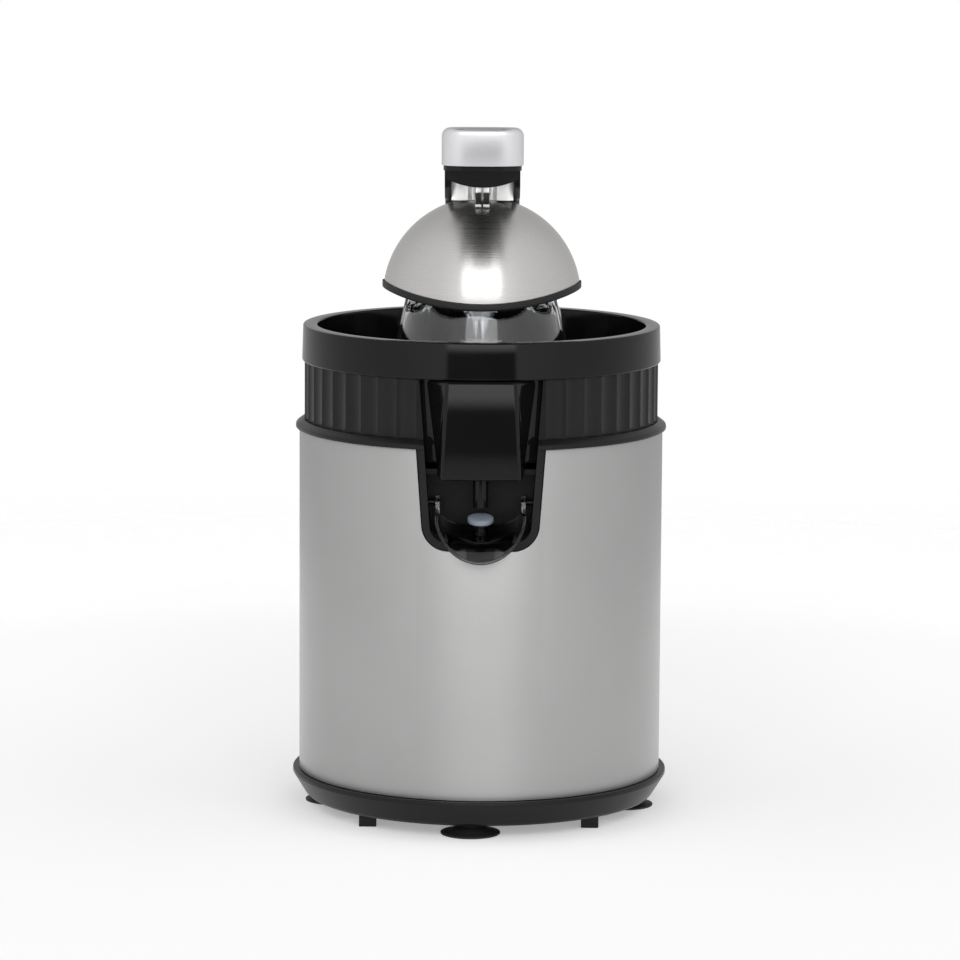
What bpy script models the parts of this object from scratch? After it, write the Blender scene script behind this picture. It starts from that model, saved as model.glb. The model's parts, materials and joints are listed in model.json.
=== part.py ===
"""Citrus press juicer: a lever press over a spinning reamer, with a juice bowl and a drip-stop spout.

Metres, +Z up. The origin is on the body's axis, on the surface that the feet stand on.
The spout faces -Y, and the lever's hinge is at +Y.
"""

import bmesh
import bpy
from math import acos, cos, pi, radians, sin, sqrt, tan
from mathutils import Vector

MM = 0.001

# ---------------------------------------------------------------- driving sizes
BODY_RADIUS = 102 * MM  # outside of the steel shell
BODY_TOP = 217 * MM  # upper edge of the steel shell
SHELL_WALL = 0.8 * MM
GAP = 0.3 * MM  # between pieces that touch
RUNNING = 0.3 * MM  # radial play of a shaft in its bush

# base
FLOOR_UNDERSIDE = 7.2 * MM  # underside of the base pan above the surface
FLOOR_WALL = 2.8 * MM
BASE_FLANGE = 3.6 * MM  # how far the base stands out past the shell
BASE_TUCK = 3.2 * MM  # how far its lower edge lies inside the shell
BASE_HEIGHT = 14.6 * MM  # from the pan's underside to the shell's lower edge
FOOT_CIRCLE = 82.3 * MM
FOOT_RADIUS = 16.5 * MM
FOOT_TURN = radians(-3.2)  # the four feet are turned this much about +Z
STEM_RADIUS = 3.0 * MM
SKID_SIZE = (9.7 * MM, 6 * MM)
SKID_AT = (61.6 * MM, 65 * MM)
TIE_AT = (70 * MM, 50 * MM)  # the tie bolts, from the base up to the upper housing
TIE_RADIUS = 2.0 * MM
SIDES = [(x, y) for x in (-1, 1) for y in (-1, 1)]
GLAND_HEIGHT = 46 * MM
GLAND_RADIUS = 6.5 * MM
GLAND_BORE = 3.4 * MM

# upper housing and its spout bay
HOUSING_FLOOR = 201 * MM
HOUSING_WALL = 2.6 * MM
COLLAR_TOP = 253 * MM
COLLAR_RADIUS = 99.2 * MM  # on the ridges between the flutes
FLUTES = 52
FLUTE_DEPTH = 1.3 * MM
FLANGE_RADIUS = 104 * MM
FLANGE_TOP = 220.6 * MM
FLANGE_DROP = 2.8 * MM  # how far its top slopes down to its outer edge
FLANGE_LIP = 1.5 * MM  # how far the flange covers the shell's upper edge
HUB_RADIUS = 12 * MM
HUB_TOP = 250 * MM
BAY_BOTTOM = 160 * MM
BAY_HALF_TOP = 35.2 * MM  # half the recess's width at the top of the shell
BAY_SLOPE = 0.0742  # how much the half width shrinks for each unit down
BAY_CORNER = 14 * MM
BAY_FRAME = 4.2 * MM
BAY_DEPTH = 35.5 * MM  # from the shell's front inwards
BAY_FRAME_BACK = 96.6 * MM
LEG_RADIUS = 4 * MM
LEGS = [(x * 66 * MM, y * 27 * MM) for x, y in SIDES]
BUSH_RADIUS = 7.7 * MM

# juice bowl
RING_RADIUS = 100.6 * MM
RING_TOP = 273.6 * MM
RING_WALL = 8 * MM
BOWL_WALL = 2.5 * MM
BOWL_FLOOR = 207 * MM
BOWL_RADIUS = 94.5 * MM
CHIMNEY_TOP = 258 * MM
SPOUT_BOTTOM = 199 * MM
SPOUT_FRONT = 103.2 * MM
SPOUT_BACK = 88 * MM
SPOUT_FACE_HALF = (22 * MM, 18.5 * MM)  # half width of the front face, at its bottom and top
SPOUT_BACK_HALF = (23.4 * MM, 31 * MM)  # the same where it meets the bowl
OUTLET_AT = -92 * MM
OUTLET_RADIUS = 4.15 * MM
OUTLET_BORE = 2.9 * MM
OUTLET_END = 183 * MM
STRAINER_AT = 238 * MM
STRAINER_SLOTS = 18

# drip-stop flap
FLAP_PIVOT = (-72 * MM, 183 * MM)  # y, z
FLAP_HALF = 24.6 * MM
FLAP_WALL = 1.6 * MM
FLAP_LIP = -114 * MM
FLAP_DEPTHS = (12 * MM, 16.5 * MM, 27 * MM)  # depth of the scoop at its back, at the shell and at its lip
SEAL_RADIUS = 7.1 * MM
SEAL_THICKNESS = 3 * MM
SEAL_AT = (0, -91.6 * MM, 176.6 * MM)
FLAP_TRAVEL = radians(13)
FLAP_PIN = 1.6 * MM
FLAP_EAR = 2.2 * MM
SCOOP_STEPS = 10

# drive
GEAR_MODULE = 1.5 * MM
OUTPUT_TEETH = 40
IDLER_PINION_TEETH = 10
IDLER_WHEEL_TEETH = 34
MOTOR_PINION_TEETH = 10
GEAR_PLAY = 0.25 * MM  # added to each pair's centre distance
PLATE_BOTTOM = 160 * MM
PLATE_WALL = 3.5 * MM
PLATE_RADIUS = 80 * MM
SPINDLE_RADIUS = 4 * MM
SPINDLE_TOP = 283 * MM
SPINDLE_BOTTOM = 154 * MM
SPLASH_RADIUS = 11.5 * MM
SPLASH_LIFT = 4.5 * MM  # above the chimney
MOTOR_RADIUS = 29 * MM
MOTOR_LENGTH = 56 * MM
MOTOR_WALL = 1.6 * MM
MOTOR_NOSE = 7 * MM
MOTOR_SHAFT = 2.5 * MM
AXLE_RADIUS = 2.5 * MM
BUTTON_RADIUS = 1.5 * MM

# reamer
REAMER_BOTTOM = 259.6 * MM
REAMER_RADIUS = 49.5 * MM
SKIRT_TOP = 287 * MM
SKIRT_TOP_RADIUS = 43.4 * MM
REAMER_TOP = 330 * MM
REAMER_WALL = 2.2 * MM
REAMER_FLUTES = 9
REAMER_TURN = radians(-3)  # the ridges are turned this much from the front

# press dome, its neck and the lever
NECK_PIN = (0, 3 * MM, 363 * MM)
DOME_TILT = radians(-2.2)  # about +X, at rest: its underside faces slightly forward
DOME_RADIUS = 55.4 * MM  # of its sphere
DOME_DROP = 74 * MM  # from the neck pin down to the sphere's centre
DOME_RIM = -1.8 * MM  # the rim's height above the sphere's centre, at its front and back
DOME_RISE = 9.8 * MM  # how much higher the rim is at its sides
DOME_FLAT = 13 * MM  # radius of the flat on top
DOME_WALL = 1.2 * MM
TRIM_OUT = 0.9 * MM  # how far the trim stands out past the dome's sphere
TRIM_IN = 3.2 * MM  # and in from it
NECK_HALF = 17.2 * MM
NECK_DEPTH = 12 * MM  # half
PIN_RADIUS = 3 * MM
TONGUE_HALF = 4 * MM
TONGUE_AXIS = (-13.7 * MM, -4.2 * MM)  # y, z from the neck pin, before the tilt
LATCH_PIN = 0.8 * MM
SLIT_HALF = 0.55 * MM
LEVER_HALF = 20.9 * MM
CAP_HALF = 21.9 * MM
CHEEK = 3.5 * MM
LEVER_SLOPE = radians(6)
LEVER_FRONT = -126 * MM
LEVER_HINGE = (0, 114 * MM, 354 * MM)
LEVER_EYE = 12 * MM  # radius of the lever's end around its hinge
GRIP_TOP = 391.2 * MM  # top of the black arm at its front
GRIP_BOTTOM = 371.6 * MM
GRIP_KEEL = 359.5 * MM
KEEL_RADIUS = 42 * MM
GRIP_BACK = -26 * MM
CAP_WALL = 1.6 * MM
CAP_BACK = -34 * MM
CAP_BEVEL = 4 * MM

# column
COLUMN_BACK = 128 * MM
COLUMN_HALF = 21 * MM
COLUMN_FOOT = 150 * MM
COLUMN_SHOULDER = 340.5 * MM
COLUMN_WALL = 2.5 * MM
COLUMN_SCREWS = (168 * MM, 194 * MM)  # heights
SCREW_RADIUS = 1.5 * MM

ROUND = 40  # sides of the body's large turned pieces
MEDIUM = 28
SMALL = 12

SHELL_BOTTOM = FLOOR_UNDERSIDE + BASE_HEIGHT + GAP
BAY_MOUTH_BACK = SPOUT_BACK - 2 * GAP  # how far from the body's axis the front opening reaches
SHELL_INSIDE = BODY_RADIUS - SHELL_WALL
FLOOR_TOP = FLOOR_UNDERSIDE + FLOOR_WALL
PLATE_TOP = PLATE_BOTTOM + PLATE_WALL
WHEEL_LEVEL = (PLATE_TOP + 2.5 * MM, PLATE_TOP + 10.5 * MM)
OUTPUT_LEVEL = (WHEEL_LEVEL[1] + 2.2 * MM, WHEEL_LEVEL[1] + 10.2 * MM)


# ---------------------------------------------------------------- helpers
def clear_scene():
    for obj in list(bpy.data.objects):
        bpy.data.objects.remove(obj, do_unlink=True)


def new_collection(name):
    collection = bpy.data.collections.new(name)
    bpy.context.scene.collection.children.link(collection)
    return collection


clear_scene()
PARTS = new_collection("citrus_press")
CUTTERS = new_collection("cutters")


def material(name, colour, roughness, metallic=0.0, transmission=0.0):
    made = bpy.data.materials.new(name)
    made.use_nodes = True
    shader = made.node_tree.nodes["Principled BSDF"]
    shader.inputs["Base Color"].default_value = (*colour, 1)
    shader.inputs["Roughness"].default_value = roughness
    shader.inputs["Metallic"].default_value = metallic
    shader.inputs["Transmission Weight"].default_value = transmission
    made.diffuse_color = (*colour, 1)
    return made


def brushed_steel():
    return material("brushed_steel", (0.62, 0.61, 0.6), 0.32, 1.0)


def bright_metal():
    return material("bright_metal", (0.78, 0.78, 0.77), 0.12, 1.0)


def satin_silver():
    return material("satin_silver", (0.74, 0.74, 0.76), 0.35, 0.6)


def gloss_black():
    return material("gloss_black", (0.012, 0.012, 0.013), 0.12)


def satin_black():
    return material("satin_black", (0.022, 0.022, 0.023), 0.4)


def black_rubber():
    return material("black_rubber", (0.015, 0.015, 0.015), 0.7)


def blue_silicone():
    return material("blue_silicone", (0.33, 0.42, 0.5), 0.5)


def clear_plastic():
    return material("clear_plastic", (0.95, 0.96, 0.96), 0.04, 0.0, 1.0)


def smoke_plastic():
    return material("smoke_plastic", (0.3, 0.3, 0.3), 0.05, 0.0, 0.9)


def white_nylon():
    return material("white_nylon", (0.8, 0.79, 0.74), 0.45)


def machined_steel():
    return material("machined_steel", (0.55, 0.55, 0.56), 0.28, 1.0)


def brass():
    return material("brass", (0.7, 0.5, 0.22), 0.3, 1.0)


def add(obj, finish=None, joint=None):
    """Puts a piece among the parts, or among the cutters where it has no finish."""
    collection = PARTS if finish else CUTTERS
    collection.objects.link(obj)
    if finish:
        obj.data.materials.append(finish)
        obj.data.shade_smooth()
        obj.data.set_sharp_from_angle(angle=radians(30))
    else:
        obj.hide_render = True
        obj.display_type = "WIRE"
    if joint:
        obj.parent = joint
        obj.matrix_parent_inverse = joint.matrix_world.inverted()
    return obj


def joint_at(name, place):
    """An empty on a joint's axis, which the moving pieces have as their parent."""
    empty = bpy.data.objects.new(name, None)
    empty.location = place
    PARTS.objects.link(empty)
    bpy.context.view_layer.update()
    return empty


def from_bmesh(name, shape):
    mesh = bpy.data.meshes.new(name)
    bmesh.ops.recalc_face_normals(shape, faces=shape.faces)
    shape.to_mesh(mesh)
    shape.free()
    return bpy.data.objects.new(name, mesh)


def box(name, low, high, finish=None, joint=None, bevel=0.0, reshape=None):
    """A box between two corners; reshape(point) may move its corners."""
    low, high = Vector(low), Vector(high)
    shape = bmesh.new()
    bmesh.ops.create_cube(shape, size=1)
    for vertex in shape.verts:
        middle = (low + high) / 2
        size = high - low
        vertex.co = Vector(m + s * c for m, s, c in zip(middle, size, vertex.co))
        if reshape:
            vertex.co = reshape(vertex.co)
    obj = add(from_bmesh(name, shape), finish, joint)
    if bevel:
        rounding = obj.modifiers.new("round_edges", "BEVEL")
        rounding.width = bevel
        rounding.segments = 2
        rounding.limit_method = "NONE"
    return obj


def rod(name, radius, start, end, finish=None, joint=None, sides=SMALL):
    """A round bar from one point to another."""
    start, end = Vector(start), Vector(end)
    along = end - start
    shape = bmesh.new()
    bmesh.ops.create_cone(
        shape, cap_ends=True, segments=sides, radius1=radius, radius2=radius, depth=along.length
    )
    obj = from_bmesh(name, shape)
    obj.rotation_mode = "QUATERNION"
    obj.rotation_quaternion = along.to_track_quat("Z", "Y")
    obj.location = (start + end) / 2
    return add(obj, finish, joint)


def turned(name, profile, sides, finish=None, joint=None, place=(0, 0, 0), closed=False):
    """A profile of (radius, height) points, turned about +Z. It runs down its outer side."""
    mesh = bpy.data.meshes.new(name)
    points = [(radius, 0, height) for radius, height in profile]
    edges = [(i, i + 1) for i in range(len(points) - 1)]
    if closed:
        edges.append((len(points) - 1, 0))
    mesh.from_pydata(points, edges, [])
    obj = bpy.data.objects.new(name, mesh)
    obj.location = place
    screw = obj.modifiers.new("turn", "SCREW")
    screw.steps = sides
    screw.render_steps = sides
    screw.use_merge_vertices = True
    screw.merge_threshold = 0.00001
    screw.use_smooth_shade = True
    add(obj, finish, joint)
    return obj


def mesh_of_curve(curve_object):
    """Makes a curve object a mesh, with its caps welded."""
    bpy.context.view_layer.update()
    graph = bpy.context.evaluated_depsgraph_get()
    mesh = bpy.data.meshes.new_from_object(curve_object.evaluated_get(graph))
    shape = bmesh.new()
    shape.from_mesh(mesh)
    bmesh.ops.remove_doubles(shape, verts=shape.verts, dist=0.000001)
    bmesh.ops.recalc_face_normals(shape, faces=shape.faces)
    shape.to_mesh(mesh)
    shape.free()
    name, place = curve_object.name, curve_object.matrix_world.copy()
    bpy.data.objects.remove(curve_object, do_unlink=True)
    obj = bpy.data.objects.new(name, mesh)
    obj.matrix_world = place
    return obj


PLANES = {"XY": (0, 0, 0), "XZ": (pi / 2, 0, 0), "YZ": (pi / 2, 0, pi / 2)}


def prism(name, outlines, plane, start, end, finish=None, joint=None):
    """Closed outlines in a plane, filled (one inside another is a hole) and extruded along its normal."""
    curve = bpy.data.curves.new(name, "CURVE")
    curve.dimensions = "2D"
    curve.fill_mode = "BOTH"
    curve.extrude = abs(end - start) / 2
    for outline in outlines:
        spline = curve.splines.new("POLY")
        spline.points.add(len(outline) - 1)
        for point, (u, v) in zip(spline.points, outline):
            point.co = (u, v, 0, 1)
        spline.use_cyclic_u = True
    obj = bpy.data.objects.new(name, curve)
    obj.rotation_euler = PLANES[plane]
    middle = (start + end) / 2
    obj.location = {"XY": (0, 0, middle), "XZ": (0, middle, 0), "YZ": (middle, 0, 0)}[plane]
    PARTS.objects.link(obj)
    return add(mesh_of_curve(obj), finish, joint)


def circle(radius, sides, centre=(0, 0)):
    turns = (2 * pi * i / sides for i in range(sides))
    return [(centre[0] + radius * cos(a), centre[1] + radius * sin(a)) for a in turns]


def rounded(corners, steps=4):
    """An outline from (u, v, radius) corners, each turned into an arc."""
    outline = []
    for i, (u, v, radius) in enumerate(corners):
        corner = Vector((u, v))
        if not radius:
            outline.append((u, v))
            continue
        before = (Vector(corners[i - 1][:2]) - corner).normalized()
        after = (Vector(corners[(i + 1) % len(corners)][:2]) - corner).normalized()
        half = before.angle(after) / 2
        centre = corner + (before + after).normalized() * radius / sin(half)
        first = corner + before * radius / tan(half) - centre
        last = corner + after * radius / tan(half) - centre
        turn = first.angle_signed(last)
        for step in range(steps + 1):
            angle = -turn * step / steps
            x = first.x * cos(angle) - first.y * sin(angle)
            y = first.x * sin(angle) + first.y * cos(angle)
            outline.append((centre.x + x, centre.y + y))
    return outline


def boolean(obj, other, operation):
    step = obj.modifiers.new(other.name, "BOOLEAN")
    step.operation = operation
    step.object = other
    step.solver = "EXACT"
    return obj


def cut(obj, *cutters):
    for cutter in cutters:
        boolean(obj, cutter, "DIFFERENCE")
    return obj


def join(obj, *others):
    for other in others:
        boolean(obj, other, "UNION")
    return obj


def around(count, turn=0.0):
    """Evenly spaced directions about +Z, as (cos, sin) pairs."""
    return [(cos(turn + 2 * pi * i / count), sin(turn + 2 * pi * i / count)) for i in range(count)]


def screw(name, under_head, direction, length, radius, finish, joint=None):
    """A pan-head screw: under_head is where its head meets the work, and the shank runs along direction."""
    head = 2 * radius
    profile = [
        (0, length),
        (radius, length),
        (radius, 0),
        (head, 0),
        (head, -radius),
        (head * 0.8, -1.5 * radius),
        (0, -1.5 * radius),
    ]
    obj = turned(name, profile, 10, finish, joint, under_head)
    obj.rotation_mode = "QUATERNION"
    obj.rotation_quaternion = Vector(direction).to_track_quat("Z", "Y")
    return obj


# ---------------------------------------------------------------- base
def base_pan():
    """The round pan that the shell stands on, with its flange, skids, vents and screw holes."""
    inside = SHELL_INSIDE - GAP
    lip = BODY_RADIUS + BASE_FLANGE
    edge = BODY_RADIUS - BASE_TUCK
    rim = FLOOR_UNDERSIDE + BASE_HEIGHT
    wall = inside - HOUSING_WALL
    profile = [
        (0, FLOOR_TOP),
        (edge - 4 * MM, FLOOR_TOP),
        (wall, rim - 2 * MM),
        (wall, rim + 12 * MM),
        (inside, rim + 12 * MM),
        (inside, rim),
        (lip - 0.7 * MM, rim),
        (lip, rim - 1.6 * MM),
        (edge, FLOOR_UNDERSIDE + 1.4 * MM),
        (edge - 1.3 * MM, FLOOR_UNDERSIDE),
        (0, FLOOR_UNDERSIDE),
    ]
    pan = turned("base_pan", profile, ROUND, satin_black())
    for x, y in SIDES:
        middle = Vector((x * SKID_AT[0], y * SKID_AT[1], 0))
        half = Vector((SKID_SIZE[0] / 2, SKID_SIZE[1] / 2, 0))
        low, high = middle - half, middle + half
        high.z = FLOOR_UNDERSIDE + FLOOR_WALL / 2
        join(pan, box("skid", low, high))
        place = (x * TIE_AT[0], y * TIE_AT[1])
        hole = TIE_RADIUS + RUNNING
        cut(pan, rod("tie_hole", hole, (*place, 0), (*place, 2 * FLOOR_TOP)))
    for c, s in around(4, FOOT_TURN):
        place = (c * FOOT_CIRCLE, s * FOOT_CIRCLE)
        hole = STEM_RADIUS + GAP
        cut(pan, rod("foot_hole", hole, (*place, 0), (*place, 2 * FLOOR_TOP)))
    for i in range(-3, 4):
        half = (1.5 * MM, 24 * MM)
        x = i * 9 * MM
        cut(pan, box("vent", (x - half[0], -half[1], 0), (x + half[0], half[1], 2 * FLOOR_TOP)))
    return pan


def suction_feet():
    neck = 6.2 * MM
    barb = 4.4 * MM
    profile = [
        (0, FLOOR_TOP + 4.5 * MM),
        (2.2 * MM, FLOOR_TOP + 4.5 * MM),
        (barb, FLOOR_TOP + 1.5 * MM),
        (barb, FLOOR_TOP + GAP),
        (STEM_RADIUS, FLOOR_TOP + GAP),
        (STEM_RADIUS, FLOOR_UNDERSIDE - GAP),
        (neck, FLOOR_UNDERSIDE - GAP),
        (FOOT_RADIUS - 4 * MM, 1.9 * MM),
        (FOOT_RADIUS, 0.9 * MM),
        (FOOT_RADIUS, 0),
        (FOOT_RADIUS - 1.2 * MM, 0),
        (0, 2.8 * MM),
    ]
    names = ("right", "rear", "left", "front")
    for name, (c, s) in zip(names, around(4, FOOT_TURN)):
        place = (c * FOOT_CIRCLE, s * FOOT_CIRCLE, 0)
        turned(f"suction_foot_{name}", profile, SMALL, black_rubber(), None, place)


def steel_shell():
    profile = [
        (BODY_RADIUS, BODY_TOP),
        (BODY_RADIUS, SHELL_BOTTOM),
        (SHELL_INSIDE, SHELL_BOTTOM),
        (SHELL_INSIDE, BODY_TOP),
    ]
    shell = turned("steel_shell", profile, ROUND, brushed_steel(), closed=True)
    recess = recess_outline(0, BODY_TOP + 10 * MM)
    cut(shell, prism("shell_recess", [recess], "XZ", -BODY_RADIUS - 9 * MM, -BAY_MOUTH_BACK))
    for height in COLUMN_SCREWS:
        cut(shell, column_hole("shell_screw_hole", height))
    low, high = (0, BODY_RADIUS - 9 * MM, GLAND_HEIGHT), (0, BODY_RADIUS + 9 * MM, GLAND_HEIGHT)
    return cut(shell, rod("gland_hole", GLAND_RADIUS + GAP, low, high, sides=20))


def cord_gland():
    """The moulded inlet at the back that a mains lead would pass through."""
    flange = GLAND_RADIUS + 2.5 * MM
    inner = 11 * MM
    profile = [
        (0, 0),
        (flange - 1 * MM, 0),
        (flange, -1.5 * MM),
        (flange, -4 * MM),
        (GLAND_RADIUS, -4 * MM),
        (GLAND_RADIUS, -inner),
        (0, -inner),
    ]
    place = (0, BODY_RADIUS + 4 * MM + GAP, GLAND_HEIGHT)
    gland = turned("cord_gland", profile, 20, black_rubber(), None, place)
    gland.rotation_euler = (-pi / 2, 0, 0)
    inside, outside = (0, place[1] - 20 * MM, GLAND_HEIGHT), (0, place[1] + 9 * MM, GLAND_HEIGHT)
    return cut(gland, rod("gland_bore", GLAND_BORE, inside, outside))


def tie_bolts():
    """Four long bolts, which clamp the shell between the base and the upper housing."""
    length = HOUSING_FLOOR - FLOOR_UNDERSIDE - 2 * GAP
    for i, (x, y) in enumerate(SIDES, 1):
        under = (x * TIE_AT[0], y * TIE_AT[1], FLOOR_UNDERSIDE - GAP)
        screw(f"tie_bolt_{i}", under, (0, 0, 1), length, TIE_RADIUS, machined_steel())


# ---------------------------------------------------------------- upper housing
def recess_half(height):
    return BAY_HALF_TOP - (BODY_TOP - height) * BAY_SLOPE


def recess_outline(inset, top):
    """The U shape of the recess, this much inside its edge, up to a given height."""
    low = BAY_BOTTOM + inset
    upper, lower = recess_half(top) - inset, recess_half(low) - inset
    radius = BAY_CORNER - inset
    return rounded([(-upper, top, 0), (-lower, low, radius), (lower, low, radius), (upper, top, 0)])


def fluted_band():
    """The collar's outside: concave flutes that meet in ridges."""
    steps = FLUTES * 2
    outline = []
    for i in range(steps):
        radius = COLLAR_RADIUS - FLUTE_DEPTH * (i % 2)
        angle = 2 * pi * i / steps
        outline.append((radius * cos(angle), radius * sin(angle)))
    inner = circle(COLLAR_RADIUS - HOUSING_WALL, ROUND)
    return prism("fluted_band", [outline, inner], "XY", FLANGE_TOP - 2 * MM, COLLAR_TOP)


def bay_block():
    """The bay's walls before it is hollowed, flush with the shell, and the frame above them."""
    outline = recess_outline(GAP, BODY_TOP)
    back = BAY_DEPTH + 2 * MM - BODY_RADIUS
    block = prism("bay_block", [outline], "XZ", -BODY_RADIUS - 4 * MM, back)
    flush = BODY_RADIUS - 0.1 * MM
    round_front = rod("round_front", flush, (0, 0, 0), (0, 0, COLLAR_TOP), sides=2 * ROUND)
    boolean(block, round_front, "INTERSECT")
    low = (-BODY_RADIUS, -BAY_FRAME_BACK, HOUSING_FLOOR + HOUSING_WALL / 2)
    return cut(block, box("above_bay", low, (BODY_RADIUS, 0, COLLAR_TOP)))


def upper_housing():
    """One moulding: flange, fluted collar, floor with the spindle's hub, and the spout bay."""
    wall_out = COLLAR_RADIUS - FLUTE_DEPTH - 0.4 * MM
    wall_in = COLLAR_RADIUS - HOUSING_WALL - 0.4 * MM
    locate = SHELL_INSIDE - GAP
    lip_low = BODY_TOP - FLANGE_LIP
    floor_top = HOUSING_FLOOR + HOUSING_WALL
    bore = BUSH_RADIUS + 0.3 * MM
    profile = [
        (wall_out, COLLAR_TOP - 0.2 * MM),
        (wall_out, FLANGE_TOP),
        (100.2 * MM, FLANGE_TOP),
        (FLANGE_RADIUS, FLANGE_TOP - FLANGE_DROP),
        (FLANGE_RADIUS, lip_low + 0.8 * MM),
        (FLANGE_RADIUS - 0.6 * MM, lip_low),
        (BODY_RADIUS + GAP, lip_low),
        (BODY_RADIUS + GAP, BODY_TOP + GAP),
        (locate, BODY_TOP + GAP),
        (locate, HOUSING_FLOOR),
        (bore, HOUSING_FLOOR),
        (bore, HUB_TOP),
        (HUB_RADIUS, HUB_TOP),
        (HUB_RADIUS, floor_top),
        (wall_in, floor_top),
        (wall_in, COLLAR_TOP - 0.2 * MM),
    ]
    housing = turned("upper_housing", profile, ROUND, satin_black(), closed=True)
    join(housing, fluted_band(), bay_block())
    for x, y in SIDES:
        at = (x * TIE_AT[0], y * TIE_AT[1])
        low, high = (*at, HOUSING_FLOOR - 14 * MM), (*at, floor_top - 1 * MM)
        join(housing, rod("tie_boss", 5 * MM, low, high, sides=8))
        cut(housing, rod("tie_bore", TIE_RADIUS + RUNNING, (*at, 0), (*at, HOUSING_FLOOR + GAP)))
    for at in LEGS:
        low, high = (*at, PLATE_TOP + GAP), (*at, floor_top - 1 * MM)
        join(housing, rod("leg", LEG_RADIUS, low, high, sides=8))
        low, high = (*at, 0), (*at, PLATE_TOP + 10 * MM)
        cut(housing, rod("leg_bore", SCREW_RADIUS + 2 * GAP, low, high, sides=8))
    inner = recess_outline(BAY_FRAME, HOUSING_FLOOR - GAP)
    deep = prism("bay_hollow", [inner], "XZ", -BODY_RADIUS - 9 * MM, BAY_DEPTH - BODY_RADIUS)
    inner = recess_outline(BAY_FRAME, COLLAR_TOP + 9 * MM)
    mouth = prism("bay_mouth", [inner], "XZ", -BODY_RADIUS - 8 * MM, -BAY_MOUTH_BACK)
    cut(housing, deep, mouth)
    for side in (-1, 1):
        wall = recess_half(FLAP_PIVOT[1]) - BAY_FRAME
        boss = rod(
            "flap_boss",
            FLAP_PIN,
            (side * (wall + 1 * MM), *FLAP_PIVOT),
            (side * (FLAP_HALF - FLAP_EAR + GAP), *FLAP_PIVOT),
        )
        join(housing, boss)
    return housing


def spindle_bushes():
    inner = SPINDLE_RADIUS + RUNNING
    for name, low, high in (
        ("spindle_bush_upper", HOUSING_FLOOR + GAP, HUB_TOP - 3 * MM),
        ("spindle_bush_lower", PLATE_BOTTOM, PLATE_TOP + 2 * MM),
    ):
        profile = [(BUSH_RADIUS, high), (BUSH_RADIUS, low), (inner, low), (inner, high)]
        turned(name, profile, 20, brass(), closed=True)


def shaft_seal():
    """Lip seal on the hub, which keeps juice out of the upper bush."""
    inner = SPINDLE_RADIUS + RUNNING
    low = HUB_TOP + GAP
    profile = [
        (HUB_RADIUS - 2.5 * MM, low + 4 * MM),
        (HUB_RADIUS - 0.5 * MM, low + 2 * MM),
        (HUB_RADIUS - 0.5 * MM, low),
        (inner, low),
        (inner, low + 4 * MM),
    ]
    return turned("shaft_seal", profile, 20, black_rubber(), closed=True)


# ---------------------------------------------------------------- drive
def centre_distance(first, second):
    return GEAR_MODULE * (first + second) / 2 + GEAR_PLAY


IDLER_AT = (0, centre_distance(OUTPUT_TEETH, IDLER_PINION_TEETH))
MOTOR_AT = (centre_distance(IDLER_WHEEL_TEETH, MOTOR_PINION_TEETH), IDLER_AT[1])


def gear(name, teeth, place, level, bore, tooth_at, finish=None, joint=None):
    """A spur gear with one tooth's middle at the angle tooth_at."""
    pitch = 2 * pi / teeth
    root = GEAR_MODULE * (teeth / 2 - 1.25)
    tip = GEAR_MODULE * (teeth / 2 + 0.9)
    corners = ((-0.28, root), (-0.12, tip), (0.12, tip), (0.28, root))
    outline = []
    for i in range(teeth):
        for share, radius in corners:
            angle = tooth_at + (i + share) * pitch
            outline.append((place[0] + radius * cos(angle), place[1] + radius * sin(angle)))
    return prism(name, [outline, circle(bore, SMALL, place)], "XY", *level, finish, joint)


def output_gear(spin):
    bore = SPINDLE_RADIUS + GAP
    gear("output_gear", OUTPUT_TEETH, (0, 0), OUTPUT_LEVEL, bore, pi / 2, white_nylon(), spin)


def idler_gear():
    spin = joint_at("idler_axis", (*IDLER_AT, PLATE_TOP))
    bore = AXLE_RADIUS + RUNNING
    wheel = gear("idler_gear", IDLER_WHEEL_TEETH, IDLER_AT, WHEEL_LEVEL, bore, 0, white_nylon(), spin)
    gap_at = -pi / 2 + pi / IDLER_PINION_TEETH
    level = (WHEEL_LEVEL[1] - 1 * MM, OUTPUT_LEVEL[1] + 1.5 * MM)
    pinion = gear("idler_pinion", IDLER_PINION_TEETH, IDLER_AT, level, bore, gap_at)
    join(wheel, pinion)
    low, high = PLATE_BOTTOM, OUTPUT_LEVEL[1] + 6 * MM
    profile = [
        (0, high),
        (AXLE_RADIUS, high),
        (AXLE_RADIUS, PLATE_TOP + 1.5 * MM),
        (2 * AXLE_RADIUS, PLATE_TOP + 1.5 * MM),
        (2 * AXLE_RADIUS, PLATE_TOP + GAP),
        (AXLE_RADIUS, PLATE_TOP + GAP),
        (AXLE_RADIUS, low),
        (0, low),
    ]
    turned("idler_axle", profile, SMALL, machined_steel(), None, (*IDLER_AT, 0))


def gear_plate():
    """Hangs below the housing on four legs, and carries the motor, the axle and the lower bush."""
    front = BAY_DEPTH + 5 * MM - BODY_RADIUS
    outlines = [[(x, max(y, front)) for x, y in circle(PLATE_RADIUS, ROUND)]]
    holes = [(0, 0, BUSH_RADIUS), (*IDLER_AT, AXLE_RADIUS), (*MOTOR_AT, MOTOR_NOSE)]
    holes += [(x, y, SCREW_RADIUS) for x, y in LEGS]
    outlines += [circle(radius + GAP, SMALL + 4, (x, y)) for x, y, radius in holes]
    prism("gear_plate", outlines, "XY", PLATE_BOTTOM, PLATE_TOP, machined_steel())
    for i, (x, y) in enumerate(LEGS, 1):
        under = (x, y, PLATE_BOTTOM - GAP)
        screw(f"gear_plate_screw_{i}", under, (0, 0, 1), 11 * MM, SCREW_RADIUS, machined_steel())


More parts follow.
